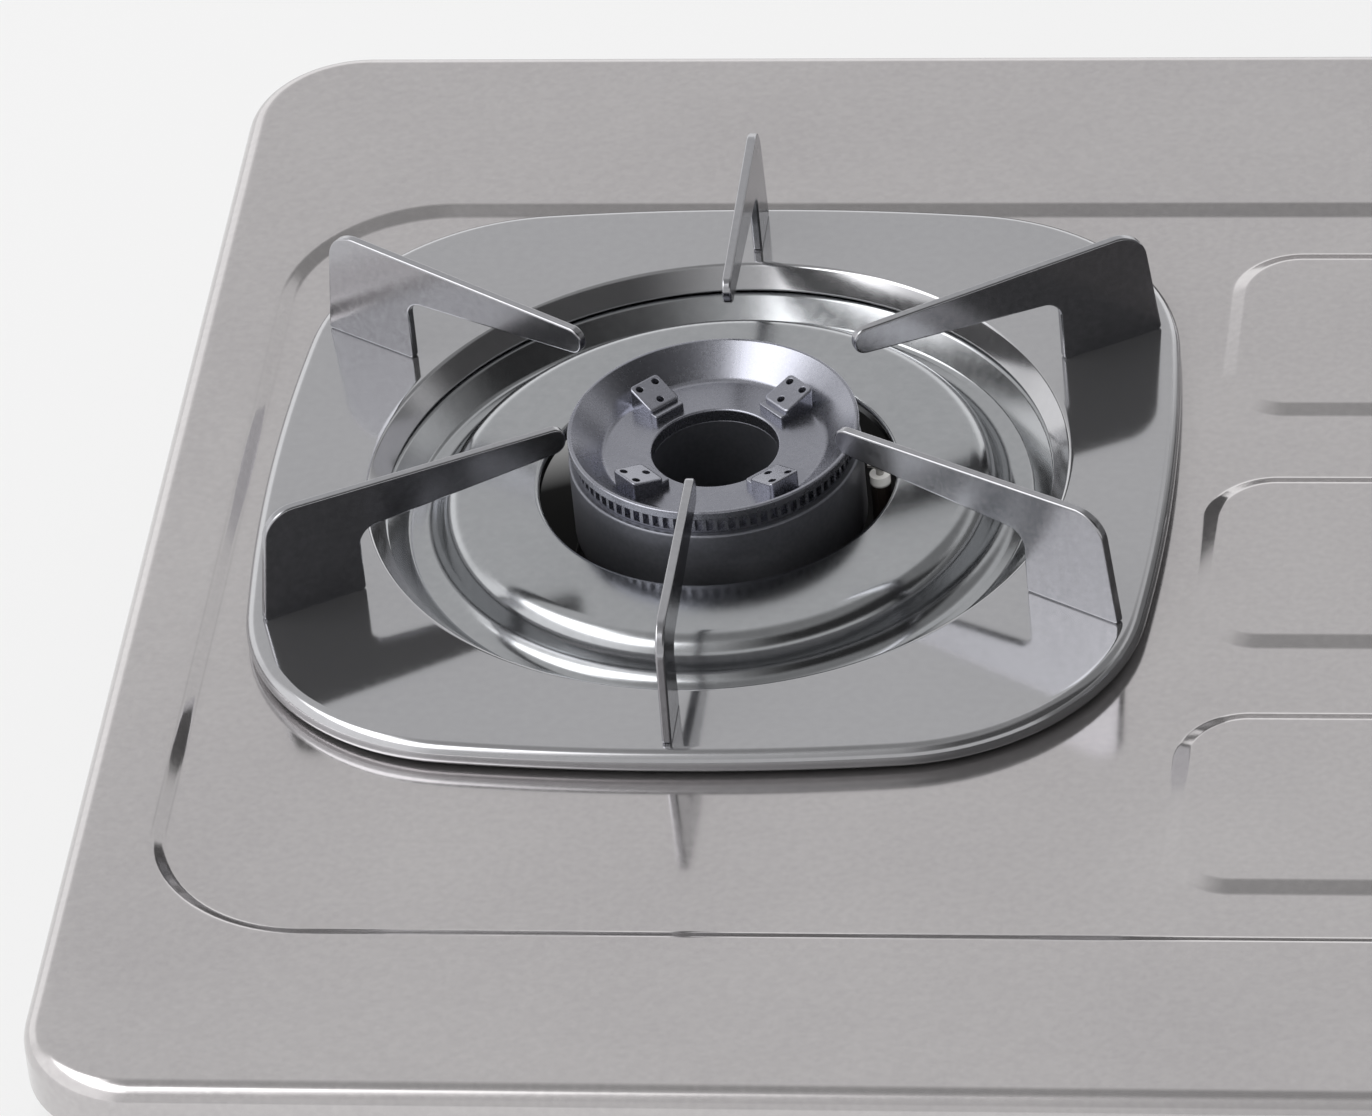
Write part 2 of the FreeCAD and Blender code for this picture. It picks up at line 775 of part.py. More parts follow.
def make_trivet(side, x):
    """The trivet plate and the six blades welded to it."""
    top, hole, t = S.trivet_height, S.trivet_hole, S.trivet_sheet
    skirt = hole + S.trivet_lip_round + t
    under = S.bowl_sheet + S.end_gap
    curl = S.trivet_curl_round
    lip = turned(f"{side}_trivet_lip", [
        (skirt, top), (hole, top, S.trivet_lip_round), (hole, under + t, curl),
        (hole - S.trivet_curl, under + t), (hole - S.trivet_curl, under), (hole + t, under, curl + t),
        (hole + t, top - t, S.trivet_lip_round - t), (skirt, top - t),
    ])
    hollow = trivet_skin(f"{side}_trivet_hollow", t)
    opening = cylinder(f"{side}_trivet_opening", skirt, top)
    shell = cut(f"{side}_trivet_shell", trivet_skin(f"{side}_trivet_outside", as_size(0)),
                [hollow, opening])
    plate = fuse(f"{side}_trivet_plate", [shell, lip])
    node(f"{side}_trivet_plate", plate, x=x, y=BURNER_Y, z=FLOOR_Z)
    for number, angle in enumerate(BLADE_ANGLES, start=1):
        at_end = angle in (90, 270)
        foot = S.end_blade_foot if at_end else S.side_blade_foot
        leg = S.end_blade_leg if at_end else S.side_blade_leg
        blade = make_blade(f"{side}_trivet_blade_{number}", foot, leg)
        node(f"{side}_trivet_blade_{number}", blade, x=x, y=BURNER_Y, z=FLOOR_Z + top,
             turn=Rotation(Vector(0, 0, 1), angle))


def make_blade(name, foot, leg):
    """An upright blade along X: a leg on the plate and an arm that reaches to the flame."""
    body = new_body(f"{name}_sheet")
    tip, nose = S.blade_tip_radius, S.blade_nose_round
    throat = foot - leg
    sketch = outline(new_sketch(body, "XZ_Plane"), [
        (foot, 0), (foot - S.blade_lean, S.blade_height, S.blade_crown),
        (tip, S.blade_tip_height, nose), (tip, S.blade_tip_height - S.blade_nose, nose),
        (throat, S.blade_height - S.blade_arm, S.blade_throat), (throat, 0),
    ])
    pad(body, sketch, S.blade_sheet, both_ways=True)
    return body


# Drip bowl
def make_drip_bowl(side, x):
    """The pressed ring: a flange on the top plate, a trough and a plateau round the burner."""
    t, high, low = S.bowl_sheet, S.bowl_plateau_height, -S.bowl_trough_depth
    r, brow, heel = S.bowl_round, S.bowl_brow, S.bowl_heel
    step = S.bowl_sheet / 2
    hole, collar = S.bowl_hole, S.bowl_collar
    corners = [
        (S.bowl_flange, 0), (S.bowl_flange, t), (S.bowl_wall, t, r),
        (S.bowl_trough_outer, low, r), (S.bowl_trough_inner, low, heel), (S.bowl_plateau, high, brow),
        (hole, high, 2 * t), (hole, high - collar), (hole + t, high - collar),
        (hole + t, high - t, t), (S.bowl_plateau - step, high - t, brow - t),
        (S.bowl_trough_inner - step, low - t, heel + t), (S.bowl_trough_outer + step, low - t, r + t),
        (S.bowl_wall + step, 0, r - t),
    ]
    node(f"{side}_drip_bowl", turned(f"{side}_drip_bowl", corners), x=x, y=BURNER_Y, z=FLOOR_Z)


# Burner
def make_cap(side, x):
    """The dished cap with its row of flame slots and four pierced bosses."""
    seat, floor, rim = S.ring_seat_height, S.cap_floor_height, S.cap_rim_height
    neck = S.cap_radius - S.rim_overhang
    inner = neck - S.cap_wall
    hub, hub_seat = S.cap_hole + S.cap_hub_wall, S.hub_seat_height
    slot_top = seat + S.slot_start + S.slot_height
    brow = slot_top + S.slot_cover
    body = turned(f"{side}_burner_cap", [
        (neck, seat), (neck, brow), (S.cap_radius, brow + S.rim_slope), (S.cap_radius, rim, S.edge_round),
        (S.cap_radius - S.cap_rim_wall, rim), (S.cap_floor_radius, floor, S.cast_round),
        (S.cap_hole, floor, S.edge_round), (S.cap_hole, hub_seat), (hub, hub_seat),
        (hub, floor - S.cap_skin), (S.cap_floor_radius, floor - S.cap_skin), (inner, slot_top),
        (inner, seat),
    ])
    slot = new_sketch(body, "XZ_Plane")
    rectangle(slot, neck, slot_top - S.slot_height / 2, 2 * (S.cap_wall + S.running_gap), S.slot_height)
    ring_pattern(body, [pocket(body, slot, S.slot_width, both_ways=True)], S.slot_count)
    boss = new_sketch(body, "XZ_Plane")
    near, far = S.boss_radius - S.boss_length / 2, S.boss_radius + S.boss_length / 2
    top = floor + S.boss_height
    root, step = floor - S.cap_skin / 2, floor + S.boss_ledge_height
    outline(boss, [(near - S.boss_ledge, root), (near - S.boss_ledge, step, S.edge_round), (near, step),
                   (near, top - S.boss_drop, S.edge_round), (far, top, S.edge_round), (far, root)])
    raised = pad(body, boss, S.boss_width, both_ways=True)
    pits = new_sketch(body, "XY_Plane", top)
    for along, across in ((-1, 0), (1, -1), (1, 1)):
        circle(pits, S.boss_radius + along * S.pit_pitch, across * S.pit_pitch, S.boss_hole)
    holes = pocket(body, pits, S.boss_height - S.edge_round)
    ring_pattern(body, [raised, holes], S.boss_count)
    node(f"{side}_burner_cap", body, x=x, y=BURNER_Y, z=FLOOR_Z,
         turn=Rotation(Vector(0, 0, 1), 45))


def mouth_y():
    """How far in front of the burner axis the mixing tube ends."""
    injector = S.injector_hex_length + S.mouth_gap
    return BURNER_Y + PANEL_Y - S.panel_sheet - S.tap_length - injector


def make_burner_body(side, x):
    """The casting: an annular gas chamber on a base ring, its mixing tube and the spark lug."""
    seat, hub_seat = S.ring_seat_height, S.hub_seat_height
    low, w = -S.body_bottom_drop, S.body_wall
    ring, neck, hub = S.cap_radius + S.ring_step, S.body_neck_radius, S.cap_hole + S.body_wall
    soft = S.cast_round
    chamber = turned(f"{side}_burner_chamber", [
        (ring, seat, S.edge_round), (ring, -S.ring_drop, soft), (neck, -S.neck_drop, soft),
        (neck, low, soft), (S.cap_hole, low), (S.cap_hole, hub_seat), (hub, hub_seat), (hub, low + w, soft),
        (neck - w, low + w, soft), (neck - w, -S.neck_drop, soft), (ring - w, -S.ring_drop, soft),
        (ring - w, seat),
    ])
    axis, reach = -S.axis_drop, mouth_y()
    start = hub + S.edge_round
    tube = cylinder(f"{side}_mixing_tube", S.tube_radius, reach - neck + w / 2, 0, w / 2 - neck, axis,
                    FRONTWARD)
    mouth = cylinder(f"{side}_tube_mouth", S.mouth_radius, S.mouth_length, 0, S.mouth_length - reach,
                     axis, FRONTWARD)
    bore = cylinder(f"{side}_tube_bore", S.tube_radius - S.tube_wall, reach - start, 0, -start, axis,
                    FRONTWARD)
    bell = bind(doc.addObject("Part::Cone", f"{side}_tube_bell"), Radius1=S.tube_radius - S.tube_wall,
                Radius2=S.mouth_radius - S.shutter_wall, Height=S.bell_length)
    place(bell, 0, S.bell_length - reach, axis, FRONTWARD)
    lug = block(f"{side}_spark_lug", S.spark_x + S.lug_width / 2 - neck + w / 2, S.lug_width,
                S.lug_height, neck - w / 2, S.spark_y - S.lug_width / 2, -S.lug_drop - S.lug_height)
    lug_hole = cylinder(f"{side}_lug_hole", S.ceramic_radius + S.running_gap, S.lug_height, S.spark_x,
                        S.spark_y, -S.lug_drop - S.lug_height)
    port = block(f"{side}_air_port", S.window_width, S.window_length, S.mouth_radius * 2,
                 -S.window_width / 2, S.window_start - reach, axis)
    casting = fuse(f"{side}_burner_casting", [chamber, tube, mouth, lug])
    body = cut(f"{side}_burner_body", casting, [bore, bell, lug_hole, port])
    node(f"{side}_burner_body", body, x=x, y=BURNER_Y, z=FLOOR_Z)


def make_spark_parts(side, x):
    """The ceramic electrode, its rod and the lead to the igniter."""
    at = dict(x=x, y=BURNER_Y, z=FLOOR_Z)
    low = -S.lug_drop - S.lug_height - S.ceramic_below
    height = S.ceramic_top - low
    stem = cylinder(f"{side}_ceramic_stem", S.ceramic_radius, height, S.spark_x, S.spark_y, low)
    collar = cylinder(f"{side}_ceramic_collar", S.ceramic_collar, S.ceramic_collar_height, S.spark_x,
                      S.spark_y, -S.lug_drop)
    core = cylinder(f"{side}_ceramic_core", S.rod_radius + S.running_gap, height, S.spark_x, S.spark_y,
                    low)
    ceramic = cut(f"{side}_spark_ceramic", fuse(f"{side}_ceramic_outside", [stem, collar]), [core])
    node(f"{side}_spark_ceramic", ceramic, **at)

    straight = height + S.rod_radius
    shaft = cylinder(f"{side}_rod_shaft", S.rod_radius, straight, S.spark_x, S.spark_y, low)
    bend = bind(doc.addObject("Part::Torus", f"{side}_rod_bend"), Radius1=S.rod_bend,
                Radius2=S.rod_radius)
    bend.Angle3 = 90
    place(bend, S.spark_x - S.rod_bend, S.spark_y, low + straight, FRONTWARD)
    tip = cylinder(f"{side}_rod_tip", S.rod_radius, S.rod_radius, S.spark_x - S.rod_bend, S.spark_y,
                   low + straight + S.rod_bend, Rotation(Vector(0, 1, 0), -90))
    node(f"{side}_spark_rod", fuse(f"{side}_spark_rod", [shaft, bend, tip]), **at)

    lead_z = -S.axis_drop - S.piezo_terminal_drop
    drop = cylinder(f"{side}_lead_drop", S.lead_radius, low - lead_z - S.lead_bend, S.spark_x, S.spark_y,
                    lead_z + S.lead_bend)
    curve = bind(doc.addObject("Part::Torus", f"{side}_lead_bend"), Radius1=S.lead_bend,
                 Radius2=S.lead_radius)
    curve.Angle3 = 90
    place(curve, S.spark_x, S.spark_y - S.lead_bend, lead_z + S.lead_bend, RIGHTWARD)
    end = BURNER_Y + S.spark_y - S.lead_bend + PANEL_Y - S.panel_sheet - S.tap_length
    run = cylinder(f"{side}_lead_run", S.lead_radius, end - S.piezo_terminal_length, S.spark_x,
                   S.spark_y - S.lead_bend, lead_z, FRONTWARD)
    node(f"{side}_spark_lead", fuse(f"{side}_spark_lead", [drop, curve, run]), **at)


# Tap, knob and igniter, built along Z with the front panel's outer face at zero
def make_tap(side, x):
    """The gas tap with its plug, spindle, knob, bezel, injector and igniter."""
    at = dict(x=x, y=-PANEL_Y, z=AXIS_Z, turn=FRONTWARD)
    t, half, gap = S.panel_sheet, S.tap_half, S.running_gap
    rear = -t - S.tap_length
    chamber_low = rear + S.tap_rear_wall

    flange = cylinder(f"{side}_tap_flange", S.tap_flange_radius, S.tap_flange, 0, 0, -t - S.tap_flange)
    neck = cylinder(f"{side}_tap_neck", S.tap_neck_radius, S.tap_neck + t, 0, 0, -t)
    core = block(f"{side}_tap_core", 2 * half, 2 * half, S.tap_length - S.tap_flange, -half, -half, rear)
    guide = cylinder(f"{side}_tap_guide", S.spindle_radius + gap, S.tap_neck + S.tap_chamber_start, 0, 0,
                     -S.tap_chamber_start)
    chamber = cylinder(f"{side}_tap_chamber", S.tap_chamber, -S.tap_chamber_start - chamber_low, 0, 0,
                       chamber_low)
    outlet = cylinder(f"{side}_tap_outlet", S.gas_bore, S.tap_rear_wall, 0, 0, rear)
    feed_z = -t - S.tap_length / 2
    feed = cylinder(f"{side}_tap_feed", S.gas_bore, half, 0, 0, feed_z, BACKWARD)
    tap = cut(f"{side}_gas_tap", fuse(f"{side}_tap_outside", [flange, neck, core]),
              [guide, chamber, outlet, feed])
    node(f"{side}_gas_tap", tap, **at)

    plug_low = chamber_low + S.end_gap
    plug_bar = cylinder(f"{side}_plug_bar", S.tap_chamber - gap, S.plug_length, 0, 0, plug_low)
    slot_wide = S.tongue_width + 2 * S.tongue_gap
    slot_thick = S.tongue_thick + 2 * S.tongue_gap
    slot = block(f"{side}_plug_slot", slot_thick, slot_wide, S.plug_slot_depth, -slot_thick / 2,
                 -slot_wide / 2, plug_low + S.plug_length - S.plug_slot_depth)
    way = cylinder(f"{side}_plug_way", S.plug_way, S.plug_length - S.plug_slot_depth + S.tongue_gap,
                   0, 0, plug_low)
    port = cylinder(f"{side}_plug_port", S.plug_port, S.tap_chamber, 0, 0, feed_z, RIGHTWARD)
    plug = cut(f"{side}_tap_plug", plug_bar, [slot, way, port])
    node(f"{side}_tap_plug", plug, **at)

    hub_low = S.knob_standoff + S.knob_hub_inset
    rod = cylinder(f"{side}_spindle_rod", S.spindle_radius, hub_low + S.spindle_inside, 0, 0,
                   -S.spindle_inside)
    tongue = block(f"{side}_spindle_tongue", S.tongue_thick, S.tongue_width, S.tongue_length,
                   -S.tongue_thick / 2, -S.tongue_width / 2, -S.spindle_inside - S.tongue_length)
    square = block(f"{side}_spindle_square", 2 * S.square_half, 2 * S.square_half, S.square_length,
                   -S.square_half, -S.square_half, hub_low)
    node(f"{side}_tap_spindle", fuse(f"{side}_tap_spindle", [rod, tongue, square]), **at)

    make_knob(side, at, hub_low)
    bezel = turned(f"{side}_knob_bezel", [
        (S.bezel_inner, 0), (S.bezel_inner, S.bezel_depth, S.edge_round),
        (S.bezel_outer, S.bezel_depth, 2 * S.edge_round), (S.bezel_outer, 0),
    ])
    node(f"{side}_knob_bezel", bezel, **at)

    hexagon_bar = hexagon(f"{side}_injector_hex", S.injector_hex, S.injector_hex_length, 0, 0,
                          rear - S.injector_hex_length)
    nose = cylinder(f"{side}_injector_nose", S.injector_nose, S.injector_nose_length, 0, 0,
                    rear - S.injector_hex_length - S.injector_nose_length)
    jet = cylinder(f"{side}_injector_jet", S.injector_jet,
                   S.injector_hex_length + S.injector_nose_length, 0, 0,
                   rear - S.injector_hex_length - S.injector_nose_length)
    well = cylinder(f"{side}_injector_well", S.injector_well, S.injector_well_depth, 0, 0,
                    rear - S.injector_well_depth)
    injector = cut(f"{side}_injector", fuse(f"{side}_injector_outside", [hexagon_bar, nose]),
                   [jet, well])
    node(f"{side}_injector", injector, **at)

    case = block(f"{side}_piezo_case", S.piezo_width, S.piezo_height, S.tap_length - S.piezo_start, half,
                 -S.piezo_height / 2, rear)
    terminal = cylinder(f"{side}_piezo_terminal", S.piezo_terminal, S.piezo_terminal_length, S.spark_x,
                        -S.piezo_terminal_drop, rear - S.piezo_terminal_length)
    node(f"{side}_piezo_igniter", fuse(f"{side}_piezo_igniter", [case, terminal]), **at)

    make_shutter(side, x)


def make_knob(side, at, hub_low):
    """A skirted knob with a grip bar and a pointer groove, hollow behind round its hub."""
    back, skirt = S.knob_standoff, S.knob_standoff + S.knob_skirt
    face = skirt + S.knob_drum_height
    front = S.panel_inset + S.reach
    deep, soft = back + S.knob_cavity_depth, S.knob_round
    body = turned(f"{side}_knob", [
        (0, face), (S.knob_drum, face, 2 * soft), (S.knob_drum + S.knob_taper, skirt, soft),
        (S.knob_radius, skirt, soft), (S.knob_radius, back), (S.knob_cavity, back),
        (S.knob_cavity, deep, soft), (S.knob_hub, deep, soft), (S.knob_hub, hub_low), (0, hub_low),
    ])
    bar = new_sketch(body, "XY_Plane", face - soft)
    rectangle(bar, as_size(0), as_size(0), S.knob_bar, S.knob_bar_length, S.knob_bar_round)
    pad(body, bar, front - face + soft)
    round_edges(body, soft, at_height(front))
    groove = new_sketch(body, "XY_Plane", front)
    rectangle(groove, as_size(0), S.knob_bar_length / 4, S.knob_groove, S.knob_groove_length)
    pocket(body, groove, S.knob_groove_depth)
    socket = new_sketch(body, "XY_Plane", hub_low)
    rectangle(socket, as_size(0), as_size(0), 2 * (S.square_half + S.running_gap),
              2 * (S.square_half + S.running_gap))
    pocket(body, socket, S.square_length + S.end_gap, backwards=True)
    node(f"{side}_knob", body, **at)


def make_shutter(side, x):
    """The sleeve that opens and closes the air port of the mixing tube."""
    inner, outer = S.mouth_radius + S.running_gap, S.mouth_radius + S.running_gap + S.shutter_wall
    start = S.shutter_lead
    barrel = cylinder(f"{side}_shutter_barrel", outer, S.shutter_length, 0, 0, start - S.shutter_length)
    handle = block(f"{side}_shutter_handle", inner + S.shutter_wall + S.shutter_handle,
                   S.shutter_wall, S.shutter_handle, 0, 0, start - S.shutter_length, HANDLE_TURN)
    hollow = cylinder(f"{side}_shutter_hollow", inner, S.shutter_length, 0, 0, start - S.shutter_length)
    window = block(f"{side}_shutter_window", S.window_width, outer * 2, S.window_length,
                   -S.window_width / 2, 0, -S.window_length - S.window_start)
    shutter = cut(f"{side}_air_shutter", fuse(f"{side}_shutter_outside", [barrel, handle]),
                  [hollow, window])
    node(f"{side}_air_shutter", shutter, x=x, y=BURNER_Y - mouth_y(), z=AXIS_Z, turn=FRONTWARD)


# Gas line
def make_gas_line():
    """The pipe behind the front panel, its branch to the back, and the hose nipple."""
    half = STATION + S.pipe_end
    pipe = cylinder("manifold_pipe", S.pipe_radius, 2 * half, -half, PIPE_Y, PIPE_Z, RIGHTWARD)
    end = S.pipe_radius - S.pipe_bore
    bore = cylinder("manifold_bore", S.pipe_bore, 2 * (half - end), end - half, PIPE_Y, PIPE_Z, RIGHTWARD)
    drop = S.pipe_rise - S.tap_half
    solids, hollows = [pipe], [bore]
    for side, sign in SIDES:
        x = STATION * sign
        solids.append(cylinder(f"{side}_manifold_boss", S.pipe_boss, drop, x, PIPE_Y, PIPE_Z - drop))
        hollows.append(cylinder(f"{side}_manifold_feed", S.gas_bore, drop, x, PIPE_Y, PIPE_Z - drop))
    solids.append(cylinder("manifold_branch", S.pipe_boss, S.branch_length, 0, PIPE_Y, PIPE_Z, BACKWARD))
    hollows.append(cylinder("branch_bore", S.gas_bore, S.branch_length, 0, PIPE_Y, PIPE_Z, BACKWARD))
    node("gas_manifold", cut("gas_manifold", fuse("manifold_outside", solids), hollows), z=0)

    pipe_start = PIPE_Y + S.branch_length
    pipe_length = PANEL_Y - S.nipple_inside - pipe_start
    tube = cylinder("inlet_tube", S.pipe_radius, pipe_length, 0, pipe_start, PIPE_Z, BACKWARD)
    hollow = cylinder("inlet_tube_bore", S.pipe_bore, pipe_length, 0, pipe_start, PIPE_Z, BACKWARD)
    node("inlet_pipe", cut("inlet_pipe", tube, [hollow]), z=0)

    end = S.panel_inset + S.reach
    spigot, groove = S.spigot_radius, S.spigot_radius - S.spigot_groove
    neck, wide, slope = S.nipple_hex_length, S.groove_width, S.spigot_groove
    corners = [(S.gas_bore, -S.nipple_inside), (S.nipple_shank, -S.nipple_inside),
               (S.nipple_shank, neck), (spigot, neck)]
    for k in (1, 2):
        start = neck + k * S.groove_pitch
        corners += [(spigot, start), (groove, start + slope), (groove, start + slope + wide),
                    (spigot, start + 2 * slope + wide)]
    corners += [(spigot, end, S.edge_round), (S.gas_bore, end)]
    body = turned("nipple_turning", corners)
    collar = hexagon("nipple_collar", S.nipple_hex, S.nipple_hex_length)
    eye = cylinder("nipple_eye", S.spigot_radius - S.spigot_groove, S.nipple_hex_length)
    nipple = fuse("hose_nipple", [body, cut("nipple_hex", collar, [eye])])
    node("hose_nipple", nipple, y=PANEL_Y, z=PIPE_Z, turn=BACKWARD)

    nut_bar = hexagon("nut_bar", S.nut_hex, S.nut_length)
    nut_eye = cylinder("nut_eye", S.nipple_shank + S.running_gap, S.nut_length)
    nut = cut("inlet_nut", nut_bar, [nut_eye])
    node("inlet_nut", nut, y=PANEL_Y - S.panel_sheet - S.nut_length, z=PIPE_Z, turn=BACKWARD)


def check_and_export():
    """Stop on any broken object, then write one file for each piece."""
    doc.recompute()
    broken = [o.Name for o in doc.Objects if {"Invalid", "Error"} & set(o.State)]
    if broken:
        raise RuntimeError(f"objects in error: {broken}")
    os.makedirs("parts", exist_ok=True)
    for piece in NODES:
        shape = piece.Shape
        if shape.isNull() or not shape.isValid() or len(shape.Solids) != 1:
            raise RuntimeError(f"{piece.Label}: {len(shape.Solids)} solids, valid {shape.isValid()}")
        shape.exportStep(f"parts/{piece.Label}.step")
    print(f"{len(NODES)} pieces written")


make_top_plate()
make_case()
make_gas_line()
for side_name, side_sign in SIDES:
    station = STATION * side_sign
    make_drip_bowl(side_name, station)
    make_trivet(side_name, station)
    make_cap(side_name, station)
    make_burner_body(side_name, station)
    make_spark_parts(side_name, station)
    make_tap(side_name, station)
check_and_export()
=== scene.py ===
"""Looks of a two burner gas stove: pressed steel top, trivets, burners, case, taps and knobs.

Sizes are millimetres in the row frame (+X right, +Y back, +Z up, the table at Z = 0);
meshes are made in metres.
"""

import logging
import math
from dataclasses import dataclass, field
from enum import Enum
from typing import Sequence

import bmesh
import bpy
import numpy as np
from mathutils import Matrix, Vector
from mathutils.geometry import delaunay_2d_cdt


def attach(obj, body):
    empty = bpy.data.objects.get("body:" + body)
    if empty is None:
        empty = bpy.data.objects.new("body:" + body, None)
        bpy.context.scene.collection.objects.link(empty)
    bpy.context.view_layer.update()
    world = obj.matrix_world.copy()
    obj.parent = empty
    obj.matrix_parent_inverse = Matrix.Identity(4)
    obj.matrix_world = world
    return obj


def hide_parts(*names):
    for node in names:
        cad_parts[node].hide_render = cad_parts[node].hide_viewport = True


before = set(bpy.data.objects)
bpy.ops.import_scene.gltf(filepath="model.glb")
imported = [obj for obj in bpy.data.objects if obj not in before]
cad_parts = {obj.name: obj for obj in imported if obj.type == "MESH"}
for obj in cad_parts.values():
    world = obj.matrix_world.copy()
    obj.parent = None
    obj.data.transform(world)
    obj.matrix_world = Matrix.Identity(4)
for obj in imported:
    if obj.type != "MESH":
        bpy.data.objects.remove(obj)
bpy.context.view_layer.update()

log = logging.getLogger("stove")

MM = 0.001
# The burners' axes, the plate's deck and the floor of its recess.
BURNER_X = 229.0
BURNER_Y = 19.0
DECK_Z = 100.0
FLOOR_Z = 98.0
# Short straights beside an arc, which keep the shading of the flats next to it even.
GUARD = 0.15
FINE_GUARD = 0.05
# Turn in radians that counts as straight, and the triangulation's limit and choice of faces.
STRAIGHT = 1e-6
NEAR = 1e-7
INSIDE = 1
# Welding distances in metres and the angle at which shading breaks.
WELD = 2e-6
SLIVER = 1e-7
SHARP_ANGLE = math.radians(38)
Colour = tuple[float, float, float]


class Side(Enum):
    """The two burners, named as their nodes are."""

    LEFT = "left"
    RIGHT = "right"

    @property
    def x(self) -> float:
        """Plan position of the burner axis."""
        return -BURNER_X if self is Side.LEFT else BURNER_X

    @property
    def seat(self) -> np.ndarray:
        """The burner's own origin: its axis at the floor of the recess."""
        return np.array([self.x, BURNER_Y, FLOOR_Z])

    def node(self, name: str) -> str:
        """The name of this side's node."""
        return f"{self.value}_{name}"


class Grain(Enum):
    """How the small scale pattern of a finish runs: stretch along X, Y and Z."""

    BRUSHED = (0.02, 1.0, 1.0)
    SPECKLED = (1.0, 1.0, 1.0)


# Surfaces
@dataclass
class Surface:
    """One patch of a piece.

    Attributes:
        points: n by 3 array in millimetres.
        faces: m by 3 or m by 4 array of point numbers.
    """

    points: np.ndarray
    faces: np.ndarray

    def moved(self, shift: Sequence[float]) -> "Surface":
        """The same patch, shifted."""
        return Surface(self.points + np.asarray(shift, float), self.faces)

    def turned(self, degrees: float) -> "Surface":
        """The same patch, turned about Z.

        Args:
            degrees: angle of the turn, anticlockwise from above.

        Returns:
            The turned patch.
        """
        a = math.radians(degrees)
        spin = np.array([[math.cos(a), -math.sin(a), 0], [math.sin(a), math.cos(a), 0], [0, 0, 1]])
        return Surface(self.points @ spin.T, self.faces)


@dataclass
class Outline:
    """A closed or open line in a plane with its outward normals."""

    points: np.ndarray
    normals: np.ndarray

    def moved(self, out: float) -> np.ndarray:
        """The line's points, moved outwards along their normals."""
        return self.points + out * self.normals


def lattice(rows: int, cols: int, join_rows: bool, join_cols: bool) -> np.ndarray:
    """Quads of a grid of points, stored row by row.

    Args:
        rows: number of rows.
        cols: number of points in a row.
        join_rows: whether the last row meets the first.
        join_cols: whether the last column meets the first.

    Returns:
        m by 4 array of point numbers.
    """
    index = np.arange(rows * cols).reshape(rows, cols)
    if join_rows:
        index = np.concatenate([index, index[:1]], axis=0)
    if join_cols:
        index = np.concatenate([index, index[:, :1]], axis=1)
    quads = [index[:-1, :-1], index[:-1, 1:], index[1:, 1:], index[1:, :-1]]
    return np.stack(quads, axis=-1).reshape(-1, 4)


def rounded(corners: Sequence[tuple], closed: bool = True, step: float = 9.0,
            guard: float = 0.0) -> Outline:
    """Polygon with round corners: each corner (a, b, radius) becomes a tangent arc.

    The arc's points are centre + radius * (cos f, sin f), with f between the normals of
    the two sides; the line runs anticlockwise, so the normals point out.

    Args:
        corners: (a, b) or (a, b, radius) in order.
        closed: whether the last corner meets the first.
        step: largest angle of one arc segment in degrees.
        guard: length of a short straight kept at both ends of each arc.

    Returns:
        The points with their outward normals.
    """
    spots = np.array([c[:2] for c in corners], float)
    radii = [c[2] if len(c) > 2 else 0.0 for c in corners]
    points, normals = [], []
    count = len(spots)
    for k, (spot, radius) in enumerate(zip(spots, radii)):
        back = spots[k - 1] if closed or k > 0 else 2 * spot - spots[k + 1]
        onward = spots[(k + 1) % count] if closed or k < count - 1 else 2 * spot - spots[k - 1]
        into = (spot - back) / np.linalg.norm(spot - back)
        away = (onward - spot) / np.linalg.norm(onward - spot)
        turn = math.atan2(into[0] * away[1] - into[1] * away[0], float(into @ away))
        start = math.atan2(-into[0], into[1])
        if radius <= 0 or abs(turn) < STRAIGHT:
            angle = start + turn / 2
            points.append(spot[None])
            normals.append(np.array([[math.cos(angle), math.sin(angle)]]))
            continue
        reach = radius * math.tan(abs(turn) / 2)
        steps = max(2, math.ceil(abs(math.degrees(turn)) / step) + 1)
        angles = start + np.linspace(0, turn, steps)
        directions = np.stack([np.cos(angles), np.sin(angles)], axis=-1)
        sign = math.copysign(1.0, turn)
        centre = spot - into * reach - sign * radius * directions[0]
        arc = centre + sign * radius * directions
        if guard > 0:
            arc = np.concatenate([arc[:1] - guard * into, arc, arc[-1:] + guard * away])
            directions = np.concatenate([directions[:1], directions, directions[-1:]])
        points.append(arc)
        normals.append(directions)
    return Outline(np.concatenate(points), np.concatenate(normals))


def rounded_box(width: float, depth: float, corner: float, x: float = 0.0, y: float = 0.0,
                step: float = 5.0) -> Outline:
    """Rectangle with round corners about (x, y), anticlockwise.

    Args:
        width: size along X.
        depth: size along Y.
        corner: radius of its corners.
        x: plan position of its middle.
        y: plan position of its middle.
        step: largest angle of one arc segment in degrees.

    Returns:
        The rectangle's line.
    """
    a, b = width / 2, depth / 2
    return rounded([(x - a, y - b, corner), (x + a, y - b, corner),
                    (x + a, y + b, corner), (x - a, y + b, corner)], step=step)


def ring_line(radius: float, steps: int) -> Outline:
    """Circle about the origin: radius * (cos t, sin t).

    Args:
        radius: its radius.
        steps: points round it.

    Returns:
        The circle's line.
    """
    t = np.linspace(0, 2 * np.pi, steps, endpoint=False)
    directions = np.stack([np.cos(t), np.sin(t)], axis=-1)
    return Outline(radius * directions, directions)


